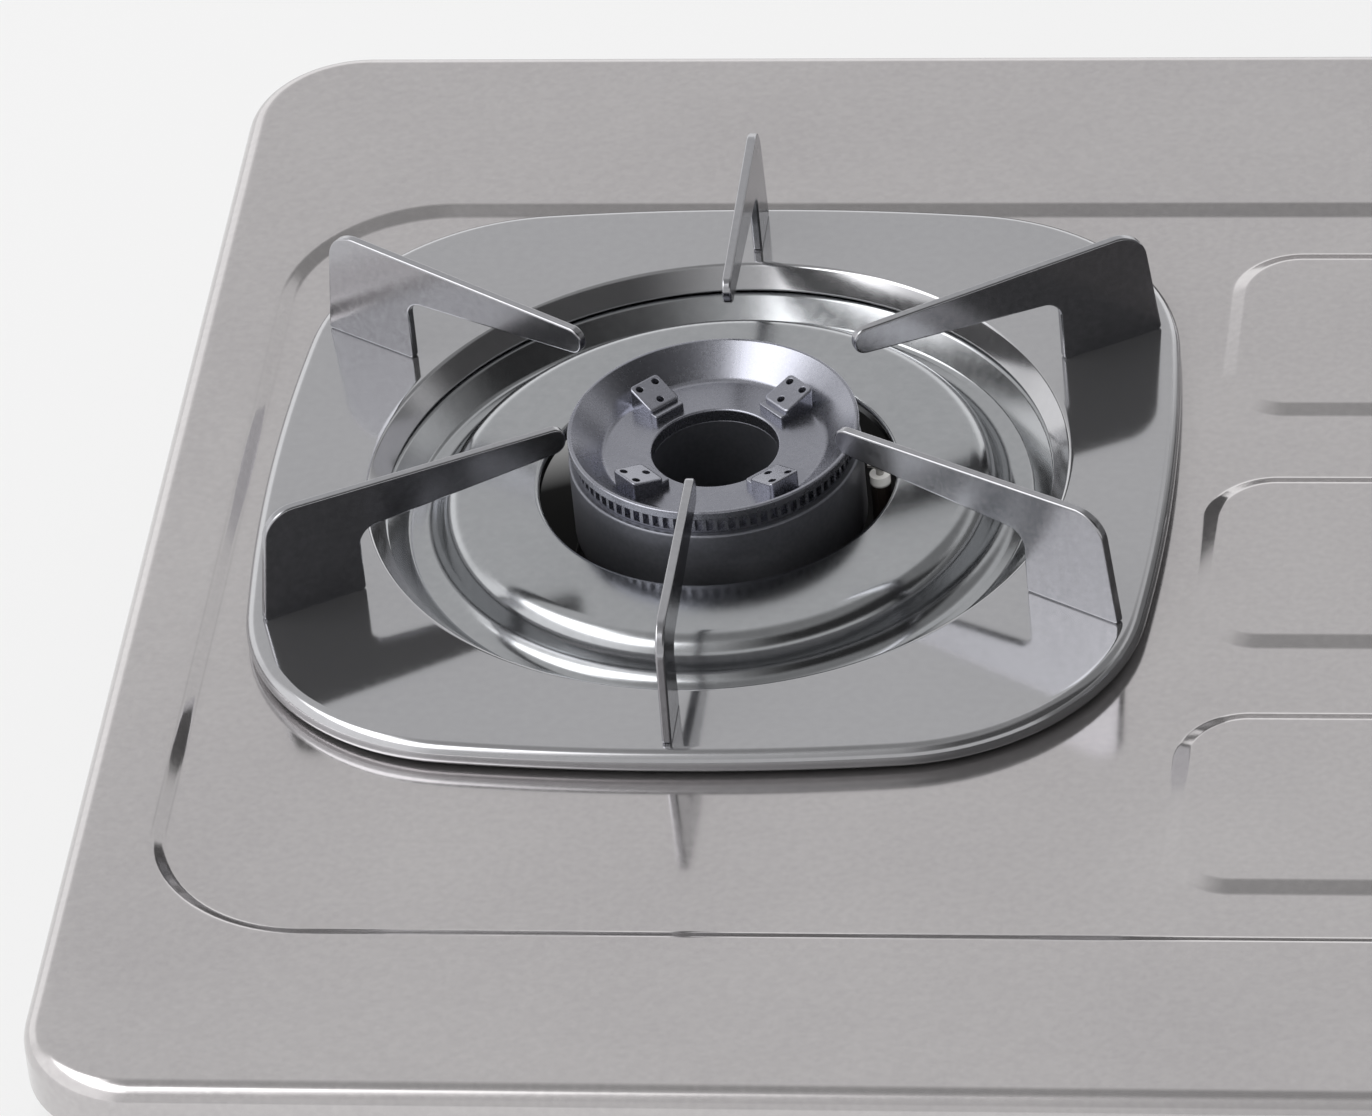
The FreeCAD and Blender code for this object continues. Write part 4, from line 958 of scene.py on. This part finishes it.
# Burner cap
@dataclass
class BurnerCap:
    """The dished cap with a row of flame slots and four pierced bosses."""

    side: Side
    radius: float = 30.8
    seat: float = 12.0
    seat_round: float = 0.15
    hub_seat: float = 9.0
    hub_round: float = 0.1
    rim: float = 18.0
    rim_wall: float = 0.8
    rim_slope: float = 0.6
    rim_round: float = 0.3
    crest_round: float = 0.4
    overhang: float = 1.2
    brow_round: float = 0.05
    floor: float = 12.0
    floor_radius: float = 23.5
    dish_round: float = 2.0
    hole: float = 13.4
    hole_round: float = 0.5
    skin: float = 2.2
    wall: float = 1.6
    hub_wall: float = 3.0
    under_round: float = 0.2
    slot_count: int = 80
    slot_width: float = 1.5
    slot_height: float = 2.8
    slot_start: float = 0.5
    slot_cover: float = 0.2
    slot_depth: float = 1.4
    slot_blend: float = 0.02
    slot_taper: float = 0.002
    boss_radius: float = 20.3
    boss_length: float = 7.6
    boss_width: float = 7.6
    boss_height: float = 5.0
    boss_drop: float = 2.4
    boss_round: float = 0.5
    boss_corner: float = 1.0
    boss_angles: tuple[int, ...] = (45, 135, 225, 315)
    root_round: float = 0.1
    ledge: float = 1.5
    ledge_height: float = 1.8
    ledge_sunk: float = 1.0
    ledge_corner: float = 0.6
    ledge_round: float = 0.35
    ledge_inset: float = 0.5
    pit: float = 0.8
    pit_rim: float = 0.15
    pit_round: float = 0.1
    pit_pitch: float = 2.1
    pit_depth: float = 3.0
    pit_steps: int = 24
    guard: float = 0.04

    @property
    def neck(self) -> float:
        """Radius of the wall with the flame slots."""
        return self.radius - self.overhang

    @property
    def slot_levels(self) -> tuple[float, float]:
        """Heights of the flame slots' lower and upper end."""
        low = self.seat + self.slot_start
        return low, low + self.slot_height

    @property
    def root(self) -> float:
        """Height of the bosses' roots, inside the cap's floor."""
        return self.floor - self.skin / 2

    def section(self) -> np.ndarray:
        """The cap's section, with close pairs of points at the slots' ends.

        Returns:
            n by 2 array of r and z.
        """
        low, high = self.slot_levels
        brow, under = high + self.slot_cover, self.floor - self.skin
        neck, inner, hub = self.neck, self.neck - self.wall, self.hole + self.hub_wall
        return rounded([
            (inner, self.seat), (neck, self.seat, self.seat_round), (neck, low),
            (neck, low + self.slot_blend), (neck, high - self.slot_blend), (neck, high),
            (neck, brow, self.brow_round), (self.radius, brow + self.rim_slope, self.rim_round),
            (self.radius, self.rim, self.crest_round),
            (self.radius - self.rim_wall, self.rim, self.rim_round),
            (self.floor_radius, self.floor, self.dish_round), (self.hole, self.floor, self.hole_round),
            (self.hole, self.hub_seat, self.hub_round), (hub, self.hub_seat, self.hub_round),
            (hub, under, self.under_round), (self.floor_radius, under, self.under_round),
            (inner, high, self.under_round),
        ], step=10, guard=self.guard).points

    def shell(self) -> Surface:
        """Section turned about Z; between a slot's two sides the outer wall steps in by its depth.

        Returns:
            The cap without its bosses.
        """
        pitch, half = 2 * np.pi / self.slot_count, self.slot_width / 2 / self.neck
        near = np.array([-half, -half + self.slot_taper, 0.0, half - self.slot_taper, half, pitch / 2])
        turn = (np.arange(self.slot_count)[:, None] * pitch + near).ravel()
        cut_across = np.tile([0, 1, 1, 1, 0, 0], self.slot_count).astype(bool)
        section, slack = self.section(), self.slot_blend / 2
        low, high = self.slot_levels
        r, z = section[:, :1], section[:, 1:]
        at_wall = (np.abs(r - self.neck) < slack) & (z > low + slack) & (z < high - slack)
        r = r - self.slot_depth * (at_wall & cut_across[None])
        points = np.stack([r * np.cos(turn), r * np.sin(turn), z + 0 * turn], axis=-1)
        return Surface(points.reshape(-1, 3), lattice(len(section), len(turn), True, True))

    def boss(self) -> list[Surface]:
        """One boss along X: a block with three pits, sheared so that its top leans to the middle.

        A point's height falls by drop * (far - x) / length at the top and not at all at the root.

        Returns:
            The block's wall and flats and the pits.
        """
        root, top = self.root, self.floor + self.boss_height
        line = rounded_box(self.boss_length, self.boss_width, self.boss_corner, self.boss_radius, step=15)
        spots = [(self.boss_radius + a * self.pit_pitch, b * self.pit_pitch)
                 for a, b in ((-1, 0), (1, -1), (1, 1))]
        mouth, deep = self.pit + self.pit_rim, top - self.pit_depth
        ring = ring_line(mouth, self.pit_steps).points
        bore = rounded([(mouth, top), (self.pit, top, self.pit_round), (self.pit, deep), (0.0, deep)],
                       closed=False, step=30).points
        patches = slab(line, (root, top), self.boss_round + GUARD, (self.root_round, self.boss_round),
                       guard=self.guard, holes=[ring + spot for spot in spots])
        patches += [revolve(bore, self.pit_steps, False).moved((*spot, 0)) for spot in spots]
        far = self.boss_radius + self.boss_length / 2
        for patch in patches:
            x, z = patch.points[:, 0], patch.points[:, 2]
            fall = self.boss_drop * (far - x) / self.boss_length
            patch.points[:, 2] = z - fall * (z - root) / (top - root)
        return patches

    def boss_ledge(self) -> list[Surface]:
        """The low ledge between the boss along X and the middle.

        Returns:
            The ledge's wall and flats.
        """
        start = self.boss_radius - self.boss_length / 2 - self.ledge
        reach = self.ledge + self.ledge_sunk
        line = rounded_box(reach, self.boss_width, self.ledge_corner, start + reach / 2, step=15)
        return slab(line, (self.root, self.floor + self.ledge_height), self.ledge_inset,
                    (self.root_round, self.ledge_round), guard=self.guard)

    def build(self) -> None:
        """Makes the cap with its bosses on the cap's body."""
        boss = self.boss() + self.boss_ledge()
        patches = [self.shell()] + [p.turned(angle) for angle in self.boss_angles for p in boss]
        name = self.side.node("burner_cap")
        Piece(f"{name}_casting", patches, self.side.node("cap"), "cap_metal", (name,)).build(
            CAP_METAL, self.side.seat)


# Burner body
@dataclass
class BurnerBody:
    """The casting under the cap: base ring, neck, mixing tube with its mouth, and the spark lug."""

    side: Side
    ring: float = 31.0
    seat: float = 12.0
    hub_seat: float = 9.0
    wall: float = 3.0
    ring_drop: float = 6.0
    neck_drop: float = 12.0
    neck: float = 27.0
    low: float = -54.0
    hole: float = 13.4
    soft: float = 2.0
    crest_round: float = 0.5
    seat_round: float = 0.2
    base_round: float = 0.3
    steps: int = 192
    axis: float = -38.0
    tube: float = 11.0
    tube_bore: float = 8.0
    tube_root: float = 1.0
    tube_steps: int = 72
    mouth: float = 14.0
    mouth_bore: float = 12.9
    mouth_length: float = 18.0
    mouth_round: float = 0.3
    mouth_back: float = 0.8
    bell: float = 14.0
    reach: float = 148.2
    lug_x: tuple[float, float] = (25.5, 39.2)
    lug_y: tuple[float, float] = (-6.1, 2.9)
    lug_level: tuple[float, float] = (-24.0, -20.0)
    lug_corner: float = 1.5
    lug_round: float = 0.4
    lug_inset: float = 0.6

    def chamber(self) -> Surface:
        """The annular gas chamber: its section turned about Z.

        Returns:
            The chamber's skin.
        """
        ring, neck, soft = self.ring - self.wall, self.neck - self.wall, self.soft
        hub, floor = self.hole + self.wall, self.low + self.wall
        return revolve(rounded([
            (self.ring, -self.ring_drop, soft), (self.ring, self.seat, self.crest_round),
            (ring, self.seat, self.seat_round), (ring, -self.ring_drop, soft),
            (neck, -self.neck_drop, soft), (neck, floor, soft), (hub, floor, soft),
            (hub, self.hub_seat, self.seat_round), (self.hole, self.hub_seat, self.seat_round),
            (self.hole, self.low, self.base_round), (self.neck, self.low, soft),
            (self.neck, -self.neck_drop, soft),
        ], step=12, guard=FINE_GUARD).points, self.steps)

    def mixing_tube(self) -> Surface:
        """Tube, swollen mouth and bell bore: a section turned about the tube's axis along Y.

        Returns:
            The tube's skin.
        """
        start, end, back = self.neck - self.wall / 2, self.reach, self.reach - self.mouth_length
        section = rounded([
            (self.tube, start), (self.tube_bore, start), (self.tube_bore, end - self.bell),
            (self.mouth_bore, end, self.mouth_round), (self.mouth, end, self.mouth_round),
            (self.mouth, back, self.mouth_back), (self.tube, back, self.tube_root),
        ], step=15, guard=FINE_GUARD).points
        return stood(revolve(section, self.tube_steps), 0, 0, self.axis)

    def spark_lug(self) -> list[Surface]:
        """The small shelf that holds the electrode.

        Returns:
            The shelf's wall and flats.
        """
        (x0, x1), (y0, y1) = self.lug_x, self.lug_y
        line = rounded_box(x1 - x0, y1 - y0, self.lug_corner, (x0 + x1) / 2, (y0 + y1) / 2, step=15)
        return slab(line, self.lug_level, self.lug_inset, (self.lug_round, self.lug_round))

    def build(self) -> None:
        """Makes the casting on the stove's body."""
        name = self.side.node("burner_body")
        patches = [self.chamber(), self.mixing_tube(), *self.spark_lug()]
        Piece(f"{name}_casting", patches, "stove", "cap_metal", (name,)).build(CAST_METAL, self.side.seat)


# Marks and fasteners
@dataclass
class KnobMarks:
    """Printed marks round a knob and the inlaid line on its grip."""

    side: Side
    face_y: float = -168.0
    axis_z: float = 60.0
    ink: float = 0.06
    big_flame: tuple[float, float, float] = (-36.0, 0.0, 6.5)
    small_flame: tuple[float, float, float] = (0.0, -30.6, 3.0)
    flame_width: float = 0.9
    flame_cut: float = 0.42
    flame_steps: int = 64
    arc_radius: float = 30.6
    arc_width: float = 2.6
    arc_taper: float = 0.25
    arc_angles: tuple[float, float] = (203.0, 255.0)
    arc_steps: int = 24
    line_width: float = 1.3
    line_length: float = 8.8
    line_thick: float = 0.6
    line_corner: float = 0.6
    line_inset: float = 0.25
    line_rounds: tuple[float, float] = (0.1, 0.15)
    line_guard: float = 0.02
    line_up: float = 7.75
    line_front: float = 33.2

    def flame(self, x: float, y: float, half: float) -> list[np.ndarray]:
        """A flame about (x, y) with a smaller one cut out of it.

        Its line is x = w h sin t sin(t / 2), y = h cos t, with the tip at t = 0.

        Args:
            x: position across the panel from the knob's axis.
            y: position up the panel from the knob's axis.
            half: half its height, h.

        Returns:
            The outer and the inner line.
        """
        t = np.linspace(0, 2 * np.pi, self.flame_steps, endpoint=False)
        line = half * np.stack([self.flame_width * np.sin(t) * np.sin(t / 2), np.cos(t)], axis=-1)
        return [line + (x, y), self.flame_cut * line + (x, y - self.flame_cut * half)]

    def tapered_arc(self) -> list[np.ndarray]:
        """A band round the axis that narrows from the big flame to the small one.

        Returns:
            The band's line.
        """
        t = np.radians(np.linspace(*self.arc_angles, self.arc_steps))
        half = self.arc_width / 2 * np.linspace(1.0, self.arc_taper, self.arc_steps)[:, None]
        directions = np.stack([np.cos(t), np.sin(t)], axis=-1)
        outer, inner = (self.arc_radius + half) * directions, (self.arc_radius - half) * directions
        return [np.concatenate([outer, inner[::-1]])]

    def printed(self, loops: list[np.ndarray]) -> list[Surface]:
        """A film of ink between closed lines, half sunk in the panel.

        Args:
            loops: the film's edge, then its holes.

        Returns:
            The film's two sides and its walls.
        """
        edge = np.array([[0.0, -self.ink], [0.0, self.ink]])
        walls = [sweep(Outline(loop, np.zeros_like(loop)), edge) for loop in loops]
        return [fill(loops, -self.ink), fill(loops, self.ink), *walls]

    def inlay(self) -> list[Surface]:
        """The bar in the groove of the grip, with rounded ends and edges.

        Returns:
            The bar's wall and flats.
        """
        line = rounded_box(self.line_width, self.line_length, self.line_corner, 0, self.line_up, step=15)
        levels = (self.line_front - self.line_thick / 2, self.line_front + self.line_thick / 2)
        return slab(line, levels, self.line_inset, self.line_rounds, guard=self.line_guard)

    def build(self) -> None:
        """Prints the marks on the panel and lays the line into the knob."""
        spot = (self.side.x, self.face_y, self.axis_z)
        marks = [self.flame(*self.big_flame), self.flame(*self.small_flame), self.tapered_arc()]
        films = [stood(patch, *spot) for loops in marks for patch in self.printed(loops)]
        Piece(self.side.node("knob_marks"), films, "stove", "knob_plastic").build(BLACK_INK)
        bar = [stood(patch, *spot) for patch in self.inlay()]
        Piece(self.side.node("knob_line"), bar, self.side.node("knob_set"), "knob_plastic").build(WHITE_INK)


@dataclass
class Screws:
    """Pan-head screws of the case: places (x, z) on the rear panel and (y, z) on both sides."""

    radius: float = 3.4
    height: float = 1.9
    dome: float = 0.55
    cross: float = 0.55
    cross_slope: float = 0.18
    cross_reach: float = 2.0
    cross_end: float = 0.3
    cross_depth: float = 1.1
    rear: tuple[tuple[float, float], ...] = (
        (-326, 40), (-326, 86), (326, 40), (326, 86), (-60, 86), (60, 86))
    rear_y: float = 168.0
    sides: tuple[tuple[float, float], ...] = ((-140, 60), (140, 60))
    side_x: float = 338.0
    steps: int = 96
    crown_rings: tuple[float, float, int] = (0.02, 0.7, 30)
    brim_rings: tuple[float, float, int] = (0.72, 1.0, 10)

    def head(self) -> list[Surface]:
        """The head on Z = 0: z = h (1 - k s**2 - (1 - k) s**8), s = r / R, less the cross recess.

        The recess falls by its depth where |x| or |y| is under half its width, within its reach.

        Returns:
            The domed top, its middle and the flat underside.
        """
        n = self.steps
        t = np.linspace(0, 2 * np.pi, n, endpoint=False)
        s = np.concatenate([np.linspace(*self.crown_rings), np.linspace(*self.brim_rings)])[:, None]
        x, y = self.radius * s * np.cos(t), self.radius * s * np.sin(t)
        near = np.minimum(np.abs(x), np.abs(y)) - self.cross
        far = np.maximum(np.abs(x), np.abs(y)) - self.cross_reach
        sunk = np.clip(-near / self.cross_slope, 0, 1) * np.clip(-far / self.cross_end, 0, 1)
        z = self.height * (1 - self.dome * s ** 2 - (1 - self.dome) * s ** 8) - self.cross_depth * sunk
        top = np.stack([x, y, z], axis=-1).reshape(-1, 3)
        ends = np.array([[0.0, 0.0, self.height - self.cross_depth], [0.0, 0.0, 0.0]])
        points, count = np.concatenate([top, ends]), len(top)
        ring = np.stack([np.arange(n), np.roll(np.arange(n), -1)], axis=-1)
        middle = np.column_stack([np.full(n, count), ring])
        under = np.column_stack([np.full(n, count + 1), ring[:, ::-1] + count - n])
        return [Surface(points, faces) for faces in (lattice(len(s), n, False, True), middle, under)]

    def build(self) -> None:
        """Drives the screws through the rear panel and the sides."""
        patches = []
        for patch in self.head():
            u, v, w = patch.points.T
            patches += [Surface(np.stack([x - u, self.rear_y + w, z + v], axis=-1), patch.faces)
                        for x, z in self.rear]
            patches += [Surface(np.stack([sign * (self.side_x + w), y + u, z + v], axis=-1), patch.faces)
                        for y, z in self.sides for sign in (-1, 1)]
        Piece("case_screws", patches, "stove", "zinc_steel").build(ZINC_STEEL)


# Carried-over nodes
@dataclass
class Works:
    """The case, the gas line and the burners' lower parts, as the frame gives them."""

    finishes: dict[str, Finish] = field(default_factory=lambda: {
        # The bracket's near-black finish is painted shade for the dark inside of the case.
        "burner_bracket": SHADE_BLACK_ENAMEL, "spark_ceramic": CERAMIC_WITH_PAINTED_SHADE,
        "spark_rod": SPARK_STEEL, "spark_lead": LEAD_COVER, "gas_tap": BRASS, "tap_plug": BRASS,
        "tap_spindle": BRASS, "knob": KNOB_PLASTIC, "knob_bezel": BEZEL_CHROME, "injector": BRASS,
        "piezo_igniter": IGNITER_PLASTIC, "air_shutter": ZINC_STEEL, "side_panel": CASE_STEEL,
    })

    def build(self) -> None:
        """Gives every carried-over node its finish."""
        for side in Side:
            for name, finish in self.finishes.items():
                finish.dress(side.node(name))
            RUBBER.dress(*[f"foot_{side.value}_{end}" for end in ("front", "rear")])
        CASE_STEEL.dress("front_panel", "rear_panel")
        ZINC_STEEL.dress("gas_manifold", "inlet_pipe")
        BRASS.dress("inlet_nut", "hose_nipple")


# Studio
@dataclass(frozen=True)
class Card:
    """A soft edged card on a sphere round the stove, seen in reflections.

    Attributes:
        name: name of the card.
        azimuth: range in degrees from the front towards the right.
        elevation: range in degrees above the table.
        strength: its brightness, 1 for white.
        fade: degrees over which it fades out at its left, right, lower and upper edges.
        distance: its distance from the middle of the stove in metres.
        lights: whether it lights the scene or only shows in reflections.
        bounces: fewest reflections after which it shows, 0 for all rays.
        columns: points across it.
        rows: points up it.
        hair: degrees added to each fade, so that an edge without one stays whole.
    """

    name: str
    azimuth: tuple[float, float]
    elevation: tuple[float, float]
    strength: float
    fade: tuple[float, float, float, float]
    distance: float
    lights: bool = False
    bounces: int = 0
    columns: int = 49
    rows: int = 33
    hair: float = 0.001

    def build(self) -> None:
        """p = d (cos e sin a, -cos e cos a, sin e) over the card's ranges, fading at its edges."""
        u, v = np.meshgrid(np.linspace(0, 1, self.columns), np.linspace(0, 1, self.rows))
        (left, right), (low, high) = self.azimuth, self.elevation
        wide, tall = right - left, high - low
        a, e = np.radians(left + u * wide), np.radians(low + v * tall)
        points = self.distance * np.stack([np.cos(e) * np.sin(a), -np.cos(e) * np.cos(a), np.sin(e)], axis=-1)
        card = new_object(self.name, points, lattice(self.rows, self.columns, False, False).tolist())
        edges = (u * wide, (1 - u) * wide, v * tall, (1 - v) * tall)
        ramps = [np.clip((edge + self.hair) / (fade + self.hair), 0, 1)
                 for edge, fade in zip(edges, self.fade)]
        cover = np.prod([ramp * ramp * (3 - 2 * ramp) for ramp in ramps], axis=0)
        card.data.attributes.new("cover", "FLOAT", "POINT").data.foreach_set(
            "value", cover.ravel().astype(np.float32))
        card.data.materials.append(self.material())
        card.visible_camera = False
        card.visible_shadow = False
        card.visible_diffuse = self.lights

    def material(self) -> bpy.types.Material:
        """Light of one strength, see-through where the card fades.

        Returns:
            The card's material.
        """
        graph = Graph(self.name, bare=True)
        share = graph.add("ShaderNodeAttribute", attribute_name="cover").outputs["Fac"]
        if self.bounces:
            depth = graph.add("ShaderNodeLightPath").outputs["Ray Depth"]
            share = graph.math("MULTIPLY", share, graph.math("GREATER_THAN", depth, self.bounces - 0.5))
        light = graph.add("ShaderNodeEmission", {"Strength": self.strength})
        return graph.mixed(share, graph.add("ShaderNodeBsdfTransparent"), light)


@dataclass
class Studio:
    """A plain white floor, an even sky and a few cards, and the camera of the view.

    Attributes:
        sky: brightness of the sky.
        floor_rings: radii of the floor's rings in millimetres.
        floor_drop: how far the floor lies below the feet, in millimetres.
        floor_steps: points round the floor.
        floor_tones: greys of the floor: the painted shadow under the stove, and the paper in the open.
        paper_light: share of the open floor's own light.
        shade: half sizes of the box under the stove whose floor gets a painted shadow, in metres.
        shade_fade: distances from that box between which the painted shadow ends, in metres.
        camera_place: the camera's place in metres.
        yaw: turn of the view to the left in degrees.
        pitch: turn of the view down in degrees.
        roll: turn of the picture in degrees.
        lens: focal length in millimetres.
        sensor: width of the film in millimetres.
        cards: what the bright metal reflects.
    """

    sky: float = 0.7
    floor_rings: tuple[float, ...] = (0.0, 600.0, 8000.0)
    floor_drop: float = 0.2
    floor_steps: int = 64
    floor_tones: tuple[float, float] = (0.05, 0.9)
    paper_light: float = 0.7
    shade: tuple[float, float] = (0.265, 0.095)
    shade_fade: tuple[float, float] = (0.06, 0.11)
    camera_place: tuple[float, float, float] = (0.08083, -1.77185, 1.45440)
    yaw: float = 10.0824
    pitch: float = 37.0622
    roll: float = -5.908
    lens: float = 281.9
    sensor: float = 36.0
    cards: tuple[Card, ...] = (
        Card("front_flag", (-28, 128), (22, 84), 0.04, (60, 26, 10, 26), 3.0),
        Card("right_grey", (96, 176), (34, 84), 0.28, (20, 22, 8, 20), 2.95),
        Card("right_low_grey", (56, 160), (-6, 28), 0.2, (16, 16, 3, 6), 2.94),
        Card("second_flag", (-28, 172), (-6, 84), 0.04, (60, 22, 4, 26), 2.92, bounces=2),
        Card("second_back", (162, 204), (5, 33), 0.05, (8, 10, 3, 6), 2.86, bounces=2),
        Card("ceiling", (-180, 180), (56, 90), 0.3, (0, 0, 24, 0), 2.9),
        Card("back_paper", (140, 262), (-6, 27), 1.2, (24, 20, 4, 10), 2.9),
        Card("left_low_box", (-112, -20), (-4, 46), 1.25, (14, 22, 6, 8), 2.85, lights=True),
        Card("left_high_box", (-112, -20), (35, 66), 3.9, (14, 22, 8, 8), 2.8, lights=True),
    )

    def build(self) -> None:
        """Sets the light, the floor, the cards and the camera."""
        scene = bpy.context.scene
        scene.view_settings.view_transform = "Standard"
        scene.world = bpy.data.worlds.new("even_sky")
        scene.world.use_nodes = True
        sky = scene.world.node_tree.nodes["Background"].inputs
        sky["Strength"].default_value = self.sky
        sky["Color"].default_value = (1, 1, 1, 1)
        self.build_floor()
        for card in self.cards:
            card.build()
        self.build_camera()

    def build_floor(self) -> None:
        """A wide disc just under the feet."""
        profile = np.column_stack([self.floor_rings, np.full(len(self.floor_rings), -self.floor_drop)])
        disc = revolve(profile, self.floor_steps, False)
        floor = new_object("floor", disc.points * MM, disc.faces.tolist())
        floor.data.materials.append(self.floor_material())

    def floor_material(self) -> bpy.types.Material:
        """White paper that shines by itself for the eye and in reflections, with a painted shadow under the
        stove, where its glow fades out and its grey goes dark.

        Returns:
            The floor's material.
        """
        graph = Graph("paper_floor", bare=True)
        rays = graph.add("ShaderNodeLightPath").outputs
        seen = graph.math("MAXIMUM", rays["Is Camera Ray"], rays["Is Glossy Ray"])
        open_share = self.open_floor(graph)
        # Painted shadow: the grey runs from near black under the stove to the paper's white in the open.
        tone = graph.add("ShaderNodeValToRGB", {"Fac": open_share})
        for stop, grey in zip(tone.color_ramp.elements, self.floor_tones):
            stop.color = (grey, grey, grey, 1)
        paper = graph.add("ShaderNodeBsdfDiffuse", {"Color": tone.outputs["Color"]})
        light = graph.add("ShaderNodeEmission", {"Strength": 1.0})
        return graph.mixed(graph.math("MULTIPLY", seen, open_share), paper, light)

    def open_floor(self, graph: Graph) -> bpy.types.NodeSocket:
        """Share of the floor's own light, by the distance from a box under the stove; it also sets the grey
        of the painted shadow.

        Args:
            graph: the floor material's node tree.

        Returns:
            The socket that gives the share.
        """
        place = graph.add("ShaderNodeTexCoord").outputs["Object"]
        place = graph.add("ShaderNodeVectorMath", {0: place}, operation="ABSOLUTE").outputs["Vector"]
        for operation, value in (("SUBTRACT", (*self.shade, 0)), ("MULTIPLY", (1, 1, 0)),
                                 ("MAXIMUM", (0, 0, 0))):
            node = graph.add("ShaderNodeVectorMath", {0: place, 1: value}, operation=operation)
            place = node.outputs["Vector"]
        away = graph.add("ShaderNodeVectorMath", {0: place}, operation="LENGTH").outputs["Value"]
        start, end = self.shade_fade
        rise = graph.add("ShaderNodeMapRange", {
            "Value": away, "From Min": start, "From Max": end, "To Max": self.paper_light})
        return rise.outputs["Result"]

    def build_camera(self) -> None:
        """Camera from its place, yaw to the left, pitch down and roll."""
        yaw, pitch, roll = (math.radians(a) for a in (self.yaw, self.pitch, self.roll))
        ahead = Vector((-math.sin(yaw) * math.cos(pitch), math.cos(yaw) * math.cos(pitch), -math.sin(pitch)))
        level = Vector((math.cos(yaw), math.sin(yaw), 0))
        upright = level.cross(ahead)
        right = math.cos(roll) * level + math.sin(roll) * upright
        up = -math.sin(roll) * level + math.cos(roll) * upright
        lens = bpy.data.cameras.new("view")
        lens.sensor_fit = "HORIZONTAL"
        lens.sensor_width = self.sensor
        lens.lens = self.lens
        camera = bpy.data.objects.new("view", lens)
        turn = Matrix((right, up, -ahead)).transposed().to_4x4()
        camera.matrix_world = Matrix.Translation(self.camera_place) @ turn
        bpy.context.scene.collection.objects.link(camera)
        bpy.context.scene.camera = camera


def main() -> None:
    """Builds the studio, then the stove from the top down."""
    logging.basicConfig(level=logging.INFO)
    Studio().build()
    TopPlate().build()
    for side in Side:
        Trivet(side).build()
        DripBowl(side).build()
        BurnerCap(side).build()
        BurnerBody(side).build()
        KnobMarks(side).build()
    Screws().build()
    Works().build()


if __name__ == "__main__":
    main()
